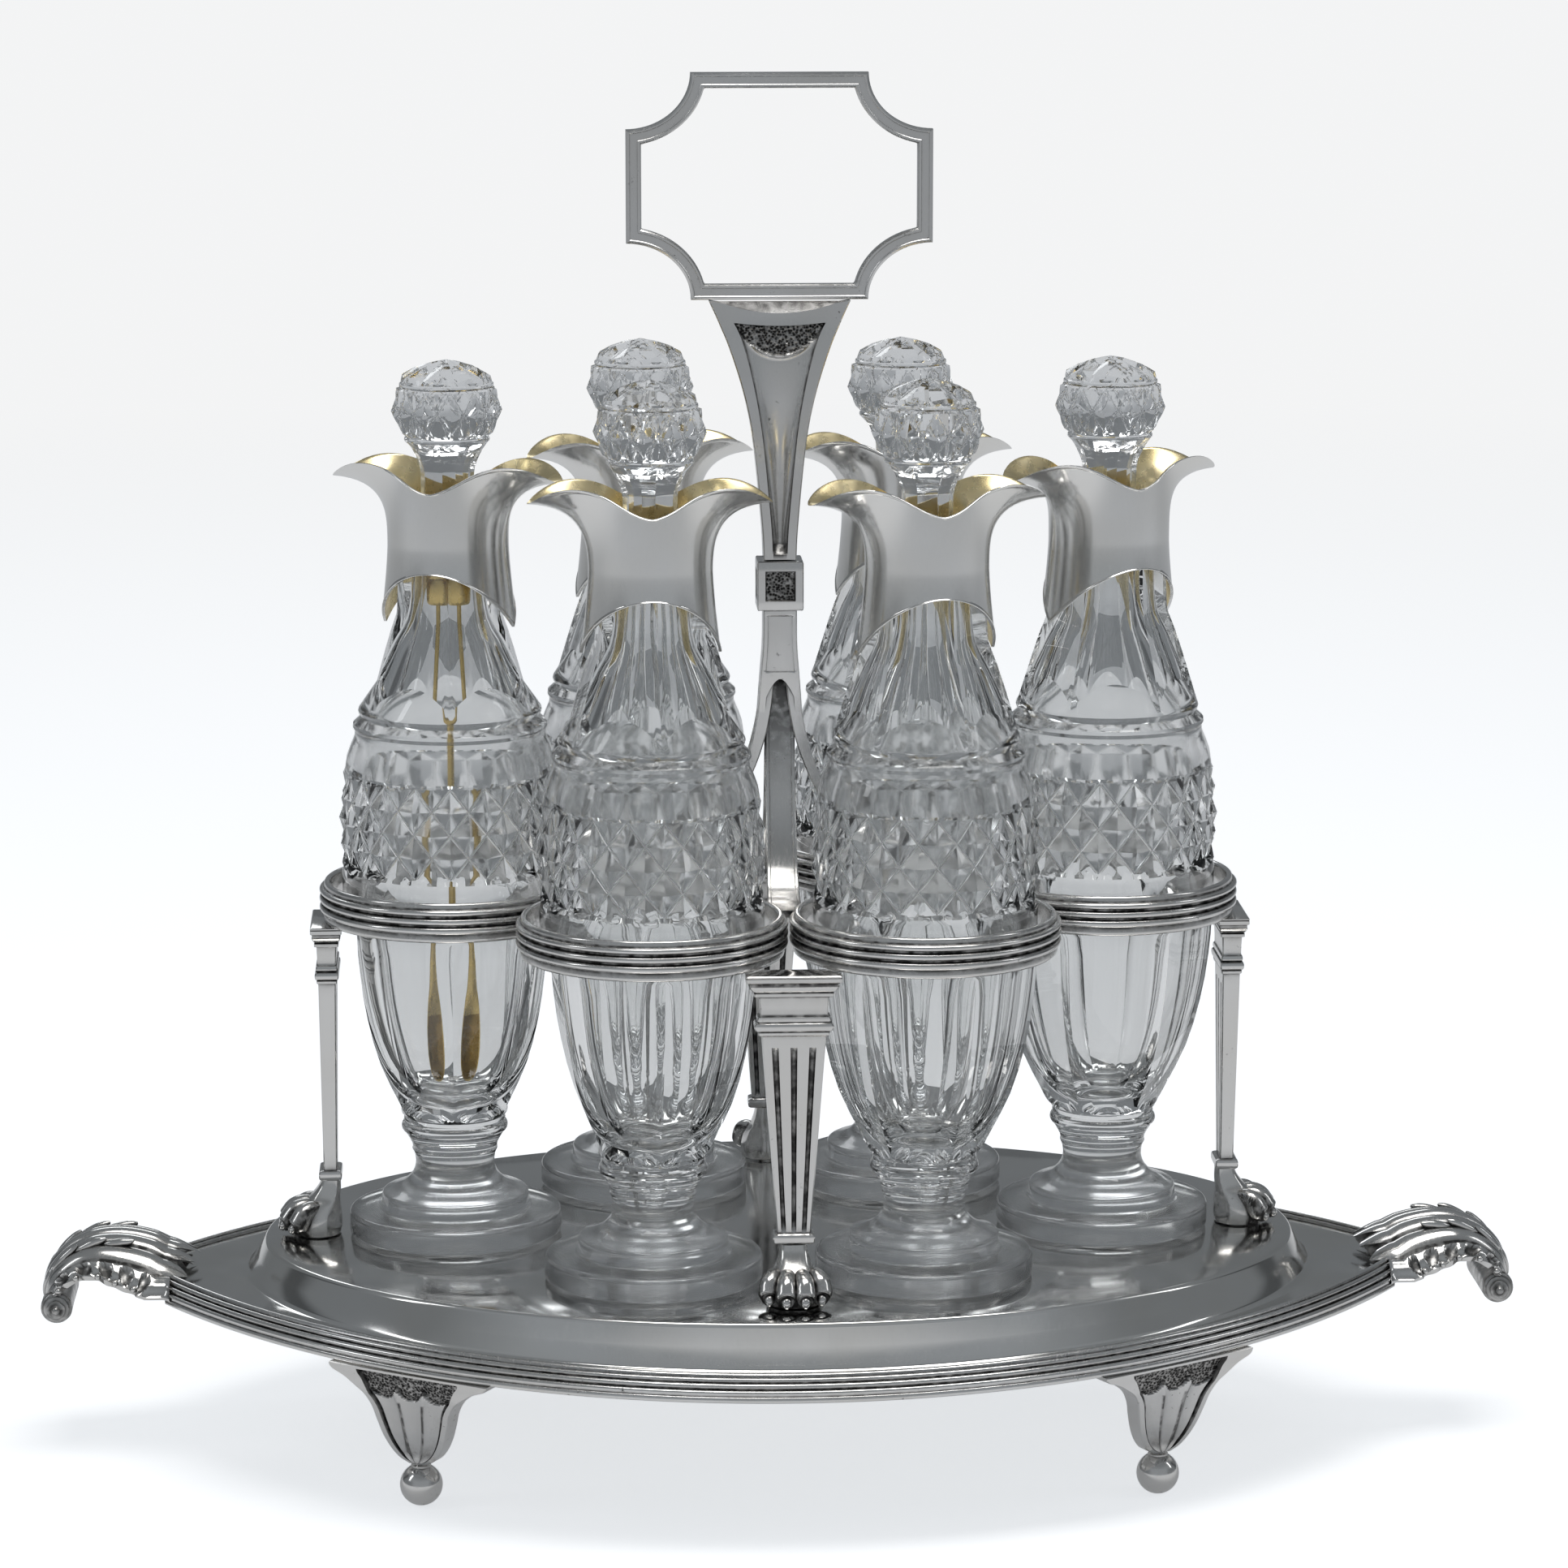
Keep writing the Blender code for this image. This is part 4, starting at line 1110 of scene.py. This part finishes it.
def make_feet():
    """Four brackets chased with three petals, each on a ball."""
    sizes = [
        (37.6, 22.0, 0.0), (36.4, 21.4, 0.04), (35.0, 17.4, 0.10), (32.5, 13.4, 0.18),
        (28.5, 11.1, 0.33), (24.0, 10.0, 0.49), (19.5, 8.8, 0.64), (15.5, 7.1, 0.79),
        (12.6, 5.0, 0.90), (10.9, 2.4, 0.97),
    ]

    def inner_half(half):
        return half - 1.7 if half < 13 else 11.3 + (half - 13) * 0.32

    def columns(half):
        inner = inner_half(half)
        field = [inner * (k + 0.5) / 24 for k in range(24)]
        return mirrored(field + [inner + 0.02, inner + 0.3, half - CHAMFER])

    def relief(x, half, z):
        inner = inner_half(half)
        u = x / inner
        if abs(u) >= 1 or z > 37.0 or half < 2.6:
            return 0.0, 0.0
        petal = (u + 1) * 1.5
        local = 2 * (petal % 1.0) - 1
        middle = 1 if 1 <= petal < 2 else 0
        outer_edge = smoothstep(0.88, 0.97, abs(u))
        scallop = 34.6 - (2.9 + 0.8 * middle) * (1 - local * local) - 0.6 * (1 - middle)
        if z > scallop:
            return 1.55 + pebbles(x, z, 0.25), MATT_GROUND
        hollow = 0.15 + 0.95 * (1 - local**2) ** 0.75
        # Painted shade along the petals' outer edges and in the lines between the petals.
        mark = 0.85 if outer_edge > 0.5 or (abs(local) > 0.86 and z < 30) else 0.0
        return mix(hollow, 1.25, outer_edge) * smoothstep(11, 14, z), mark

    fine = curve_through(sizes, 9)
    levels = [(z, half, 2.0 + 1.2 * (z - 11) / 27) for z, half, _ in fine]
    share_at = {z: share for z, _, share in fine}
    turn = math.asin(FOOT_CENTRE[0] / TRAY_ARC)
    along = Vector((math.cos(turn), -math.sin(turn), 0))
    outwards = Vector((math.sin(turn), math.cos(turn), 0))
    ball = [(0, BALL_RADIUS * 2 - 0.35), (1.9, BALL_RADIUS * 2 - 0.1), (2.5, BALL_RADIUS * 2 - 0.45)]
    ball += bead((0, 5.1), BALL_RADIUS, 62, -74, 26) + [(0, 0.0)]
    for y_name, y_side in (("front", -1), ("rear", 1)):
        for x_name, x_side in (("left", -1), ("right", 1)):

            def to_tray(point):
                w, out, z = point
                share = share_at[z]
                x, y = (mix(a, b, share) for a, b in zip(FOOT_CENTRE, BALL_CENTRE))
                spot = Vector((x, y, z)) + along * w - outwards * out
                lift = smoothstep(33, 37.6, z) * (rise(spot.x) + 0.4)
                return spot.x * x_side, spot.y * y_side, z + lift

            name = f"{y_name}_{x_name}"
            chased_post(f"petal_foot_{name}", levels, columns, relief, f"foot_{name}", move=to_tray)
            turned(
                f"ball_{name}", ball, 40, CAST_SILVER, "stand", "silver", [f"foot_ball_{name}"],
                place=placed(BALL_CENTRE[0] * x_side, BALL_CENTRE[1] * y_side),
            )


# ---------------------------------------------------------------- leaf handles


def make_leaflet(spots):
    """A small lobe that lies along the leaf and lifts its rounded tip off it, at the first spot."""
    path = []
    for k, (x, y, z) in enumerate(reversed(spots)):
        share = k / (len(spots) - 1)
        radius = mix(0.5, 1.15, math.sin(math.pi * share) ** 0.7)
        path.append((x - 0.4 * share, y, z + 0.2 + 1.5 * share**2, radius))
    path[-1] = (*path[-1][:3], 0.35)
    return tube(curve_through(path, 4), 14)


TIP_Z = FLOOR_Z + rise(150) - 0.4  # the tips of the lobes are sunk a little into the tray's floor


def make_leaf(node, side):
    """An acanthus leaf: pointed lobes on the tray's tip, then an arch out and down that ends in a roll."""
    # X and Z of the ridge, half width, and how far the edges hang below it.
    ridge = [
        (156.4, 51.6, 20.6, 9.2), (160.0, 53.4, 19.6, 9.4), (165.0, 54.6, 18.4, 9.2),
        (170.0, 54.9, 17.4, 8.4), (175.0, 54.1, 16.4, 6.8), (180.0, 51.6, 15.4, 5.0),
        (184.0, 47.6, 14.4, 3.6), (186.2, 43.0, 13.4, 2.4), (186.5, 39.0, 12.6, 1.4),
    ]
    fine = curve_through(ridge, 9)
    last = len(fine) - 1
    half_count = 44
    across = [k / half_count for k in range(-half_count, half_count + 1)]
    lobes, teeth = 5, 6
    blade = 0.72  # the middle lobes reach this far across
    thickness = 1.8

    def lobe_place(u):
        return 2 * ((u / blade + 1) / 2 * lobes % 1.0) - 1

    # height also gives each point's painted shade: between the lobes, in the teeth's hollows and along the
    # fold beside the blade.
    def height(s, u):
        if abs(u) <= blade:
            local = lobe_place(u)
            lift = 1.45 * math.sqrt(max(0.0, 1 - local**2)) + 0.5 * (1 - (u / blade) ** 2)
            return lift * (1 - 0.45 * smoothstep(0.75, 1.0, s)), 0.95 if abs(local) > 0.8 else 0.0
        v = (abs(u) - blade) / (1 - blade)
        phase = s * teeth % 1.0
        oval = math.hypot((phase - 0.5) / 0.34, (v - 0.52) / 0.34)
        lip = 0.95 * math.sin(math.pi * min(1.0, v * 1.15)) + 0.5 * math.exp(-((v - 0.15) / 0.12) ** 2)
        lip += 0.6 * v * v * math.sin(math.pi * phase) ** 2 * smoothstep(0.12, 0.3, s)
        if oval < 1:
            return lip - 1.5 * math.sqrt(1 - oval * oval), 0.9
        return lip, 0.9 if v < 0.08 else 0.0

    def loop_at(i):
        x, z, half_width, hang = fine[i]
        before, after = fine[max(i - 1, 0)], fine[min(i + 1, last)]
        slope = math.atan2(after[1] - before[1], after[0] - before[0])
        down = (math.sin(slope), -math.cos(slope))
        s = i / last
        top, bottom, marks = [], [], []
        for u in across:
            lift, mark = height(s, u)
            scallop = 1 - 0.05 * (0.5 + 0.5 * math.cos(TURN * s * teeth)) * smoothstep(0.85, 1.0, abs(u))
            depth = hang * u * u
            y = u * half_width * scallop
            top.append((x + down[0] * (depth - lift), y, z + down[1] * (depth - lift)))
            skin = mix(thickness, 0.9, smoothstep(0.8, 1.0, abs(u)))
            bottom.append((x + down[0] * (depth + skin), y * 0.97, z + down[1] * (depth + skin)))
            marks.append(mark)
        return top, bottom, marks

    sections, marks = [], []
    top, bottom, row_marks = loop_at(0)
    for share in (1.0, 0.85, 0.7, 0.55, 0.4, 0.2):
        tip_top, tip_bottom = [], []
        for u, high, low in zip(across, top, bottom):
            if abs(u) > blade:
                # Beside the lobes the leaf clasps the rim's outer face and ends square.
                x = mix(high[0], fine[0][0] - 1.6, share)
                y = u * max(abs(high[1] / u), tray_half_width(x, 0) + 0.4)
                tip_top.append((x, y, high[2]))
                tip_bottom.append((x, y * 0.97, low[2]))
                continue
            point = 1 - abs(lobe_place(u))
            reach = 8.5 * share * point**0.65 * (1 - 0.35 * abs(u))
            sink = 3.9 * share**1.3 * point**0.8
            tip_top.append((high[0] - reach, high[1], max(high[2] - sink, min(high[2], TIP_Z + 0.6))))
            tip_bottom.append((low[0] - reach, low[1], max(low[2] - sink, min(low[2], TIP_Z))))
        sections.append(tip_top + tip_bottom[::-1])
        marks += row_marks + [0.0] * len(bottom)
    for i in range(last + 1):
        top, bottom, row_marks = loop_at(i)
        sections.append(top + bottom[::-1])
        marks += row_marks + [0.0] * len(bottom)
    shells = [loft_shell(sections)]
    roll_x, roll_z = 183.8, 39.0
    half_roll = [(0.0, 3.9), (9.0, 3.95), (11.6, 4.0), (12.0, 3.95), (12.3, 3.7), (12.5, 3.1), (12.9, 3.25)]
    half_roll += [(13.3, 3.2), (13.5, 2.8), (13.7, 2.2), (14.0, 2.35), (14.3, 2.2), (14.5, 1.5), (14.7, 1.15)]
    half_roll += [(14.6 + r, up) for r, up in bead((0, 0), 1.05, 80, 0, 6)]
    outline = [(r, y) for y, r in reversed(half_roll)] + [(r, -y) for y, r in half_roll[1:]]
    # The roll has painted shade all over, darkest in the grooves near its ends.
    wound = []
    for r, y in outline:
        for a in circle(36):
            curl = 1 - 0.03 * math.cos(a * 6) * smoothstep(12.2, 11.0, abs(y)) if abs(y) < 12 else 1.0
            wound.append((roll_x + r * curl * math.cos(a), y, roll_z + r * curl * math.sin(a)))
            marks.append(0.9 if 12.3 < abs(y) < 12.9 or 13.5 < abs(y) < 14.0 or 14.4 < abs(y) < 14.8 else 0.5)
    shells.append((wound, grid_faces(len(outline), 36)))
    for start in (0.24, 0.42, 0.6, 0.78):
        for edge in (round((1 + 0.45) * half_count), round((1 - 0.45) * half_count)):
            spots = [loop_at(round((start + 0.03 * k) * last))[0][edge] for k in range(7)]
            shells.append(make_leaflet(spots))
    for i in range(1, teeth):
        spot = loop_at(round(i / teeth * last))[0]
        for edge in (1, -2):
            x, y, z = spot[edge]
            beads = [(r, z + up) for r, up in bead((0, 0), 0.85, 90, -90, 8)]
            ball_points = [(x + px, y + py, pz) for px, py, pz in turned_points(beads, 12)]
            shells.append((ball_points, grid_faces(len(beads), 12)))
    points, faces = joined(*shells)
    marks += [0.0] * (len(points) - len(marks))
    points = [(side * x, y, z) for x, y, z in points]
    stand_piece(f"acanthus_{node}", (points, faces), node, 38, marks)


# ---------------------------------------------------------------- spoon

BOWL_SHADE_Z = (93.5, 112)  # the hollow of the ladle's bowl gets painted shade between these heights


def make_spoon():
    """A gilt ladle hung from a round socket under the left stopper."""
    axis = centre_mm("spoon")
    socket_low, socket_high = box_mm("spoon_ferrule")
    low, high = socket_low.z, socket_high.z
    socket = [(0, high), (4.2, high), (4.75, high - 0.15), (5.0, high - 0.6), (5.1, high - 2.4)]
    socket += [(4.95, high - 2.7), (5.05, high - 3.0), (4.75, low + 1.0), (4.5, low + 0.3), (4.1, low)]
    socket += [(1.6, low), (1.2, low + 0.3), (0, low + 0.3)]
    turned(
        "gilt_socket", socket, 48, DEEP_GILT, "left_stopper", "silver_gilt", ["spoon_ferrule"],
        place=placed(axis.x, axis.y),
    )
    # Height, half width, half depth, and how deep its front is hollowed.
    ladle = [
        (217.0, 1.0, 1.0, 0.0), (214.0, 0.9, 0.9, 0.0), (170.0, 0.85, 0.85, 0.0), (138.0, 0.9, 0.8, 0.0),
        (127.0, 1.3, 0.75, 0.0), (119.0, 2.0, 0.75, 0.1), (114.5, 3.0, 1.1, 0.5), (108.5, 3.9, 1.6, 0.85),
        (101.5, 4.2, 1.8, 0.9), (96.5, 3.6, 1.6, 0.85), (93.8, 2.4, 1.1, 0.6), (92.7, 1.0, 0.6, 0.1),
    ]
    around = 28
    sections, painted_shade = [], []
    for row, (z, w, d, hollow) in enumerate(curve_through(ladle, 5)):
        loop = []
        # Faces in the bowl's hollow get painted shade.
        if BOWL_SHADE_Z[0] < z < BOWL_SHADE_Z[1]:
            painted_shade += [row * around + k for k in range(16, 26)]
        for a in circle(around):
            c, s = math.cos(a), math.sin(a)
            y = d * s if s > 0 else mix(d * s, d * 0.85 * s * s, min(1.0, max(0.0, hollow)))
            loop.append((w * c, y, z))
        sections.append(loop)
    add_mesh(
        "gilt_spoon", *loft_shell(sections), DEEP_GILT, "left_stopper", "silver_gilt", ["spoon"], 50,
        placed(axis.x, axis.y, 20), others=[(SHADED_GILT, painted_shade)],
    )


# ---------------------------------------------------------------- studio

SEEN_WHITE = (0.9, 0.905, 0.91)
# How bright the room is towards each side, and on the black panels.
FRONT_LEVEL = 0.36
REAR_LEVEL = 0.19
SIDE_LEVEL = 0.22
CEILING_LEVEL = 0.24
PANEL_LEVEL = 0.09
FLOOR_HALF = 15.0
FLOOR_DROP = 0.0004  # keeps the sheet clear of the balls' undersides
LAMP_AIM = Vector((0, 0, 0.15))
CAMERA_PLACE = Vector((-0.0693, -1.3748, 0.4337))
CAMERA_AIM = Vector((0.00115, 0.0, 0.1699))
CAMERA_LENS = 127.5


def added(name, data):
    thing = bpy.data.objects.new(name, data)
    bpy.context.scene.collection.objects.link(thing)
    return thing


def point_at(thing, place, target):
    thing.location = place
    thing.rotation_euler = (target - Vector(place)).to_track_quat("-Z", "Y").to_euler()


def make_floor():
    """A pale sheet that runs out into the pale backdrop; only the camera sees it fade."""
    mesh = bpy.data.meshes.new("studio_floor")
    corners = [(x * FLOOR_HALF, y * FLOOR_HALF, 0) for x, y in ((-1, -1), (1, -1), (1, 1), (-1, 1))]
    mesh.from_pydata(corners, [], [(0, 1, 2, 3)])
    n = Nodes(bpy.data.materials.new("studio_paper"))
    seen = n.add("ShaderNodeLightPath").outputs["Is Camera Ray"]
    n.set(Base_Color=(0.72, 0.72, 0.73, 1), Roughness=1.0, Specular_IOR_Level=0.0)
    lengthwise = n.add("ShaderNodeSeparateXYZ", Vector=n.place).outputs["Y"]
    glow = n.ramp(lengthwise, -0.2, 0.5, 0.24, 0.2)
    n.set(Emission_Color=(0.88, 0.905, 0.93, 1), Emission_Strength=n.ramp(seen, 0.0, 1.0, glow, 0.7))
    distance = n.add("ShaderNodeVectorMath", {"operation": "LENGTH"}, Vector=n.place).outputs["Value"]
    backdrop = n.add("ShaderNodeEmission", Color=(*SEEN_WHITE, 1), Strength=1.0)
    far = n.math("MULTIPLY", n.ramp(distance, 0.5, 2.2), seen)
    n.show(far, n.shader, backdrop)
    mesh.materials.append(n.owner)
    floor = added("studio_floor", mesh)
    floor.location.z = -FLOOR_DROP
    return floor


def make_lamps():
    """A soft light overhead, a strip at each side and one behind."""
    lamps = []
    for name, place, size, power, colour in (
        ("overhead", (0.1, -0.3, 1.5), (1.1, 0.5), 9, (1.0, 0.99, 0.97)),
        ("left_strip", (-1.6, -0.5, 1.1), (0.2, 0.9), 2.0, (0.96, 0.98, 1.0)),
        ("right_strip", (1.6, -0.3, 1.1), (0.2, 0.9), 1.5, (0.98, 0.99, 1.0)),
        ("back_strip", (-0.2, 1.6, 1.2), (1.2, 0.3), 3, (0.95, 0.98, 1.0)),
    ):
        data = bpy.data.lights.new(name, "AREA")
        data.shape = "RECTANGLE"
        data.size, data.size_y = size
        data.energy = power
        data.color = colour
        lamp = added(name, data)
        point_at(lamp, place, LAMP_AIM)
        lamps.append(lamp)
    return lamps


def make_room():
    """The world: a grey room with darker sides, a black panel behind each side, and a pale backdrop where it
    is looked at."""
    n = Nodes(bpy.data.worlds.new("studio_room"), "Generated")
    x, y, z = n.add("ShaderNodeSeparateXYZ", Vector=n.place).outputs
    level = n.ramp(y, 0.4, -0.4, REAR_LEVEL, FRONT_LEVEL)
    across = n.plain("ABSOLUTE", x)
    sideways = n.ramp(across, 0.62, 0.86)
    low = n.ramp(z, 0.75, 0.3)
    level = n.ramp(n.math("MULTIPLY", sideways, low), 0.0, 1.0, level, SIDE_LEVEL)
    level = n.ramp(n.ramp(z, 0.45, 0.75), 0.0, 1.0, level, CEILING_LEVEL)
    panel = n.math("MULTIPLY", n.ramp(across, 0.8, 0.84), n.ramp(across, 0.94, 0.9))
    panel = n.math("MULTIPLY", panel, n.ramp(y, 0.0, 0.2))
    level = n.ramp(panel, 0.0, 1.0, level, PANEL_LEVEL)
    room = n.add("ShaderNodeBackground", Color=(0.89, 0.95, 1.0, 1), Strength=level)
    backdrop = n.add("ShaderNodeBackground", Color=(*SEEN_WHITE, 1), Strength=1.0)
    seen = n.add("ShaderNodeLightPath").outputs["Is Camera Ray"]
    n.show(seen, room, backdrop)
    bpy.context.scene.world = n.owner


def make_camera():
    data = bpy.data.cameras.new("camera")
    data.lens = CAMERA_LENS
    data.sensor_width = 36.0
    camera = added("camera", data)
    point_at(camera, CAMERA_PLACE, CAMERA_AIM)
    bpy.context.scene.camera = camera


def set_light_paths():
    scene = bpy.context.scene
    scene.cycles.max_bounces = 28
    scene.cycles.transmission_bounces = 24
    scene.cycles.transparent_max_bounces = 24
    scene.cycles.glossy_bounces = 6
    scene.cycles.diffuse_bounces = 2
    scene.cycles.sample_clamp_indirect = 4.0
    scene.cycles.use_denoising = True
    scene.view_settings.view_transform = "Standard"


make_bottles()
make_rings()
make_tray()
make_rim("front_rim", -1)
make_rim("rear_rim", 1)
make_handle()
make_bracket()
make_boss()
make_column()
make_legs()
make_feet()
make_leaf("left_leaf_handle", -1)
make_leaf("right_leaf_handle", 1)
make_spoon()

carried_over = {"silver_gilt": GILT, "cut_glass": CRYSTAL}
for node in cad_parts.values():
    for socket in node.material_slots:
        socket.material = carried_over.get(socket.material.name.split(".")[0], CAST_SILVER)

make_floor()
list(make_lamps())
make_room()
make_camera()
set_light_paths()
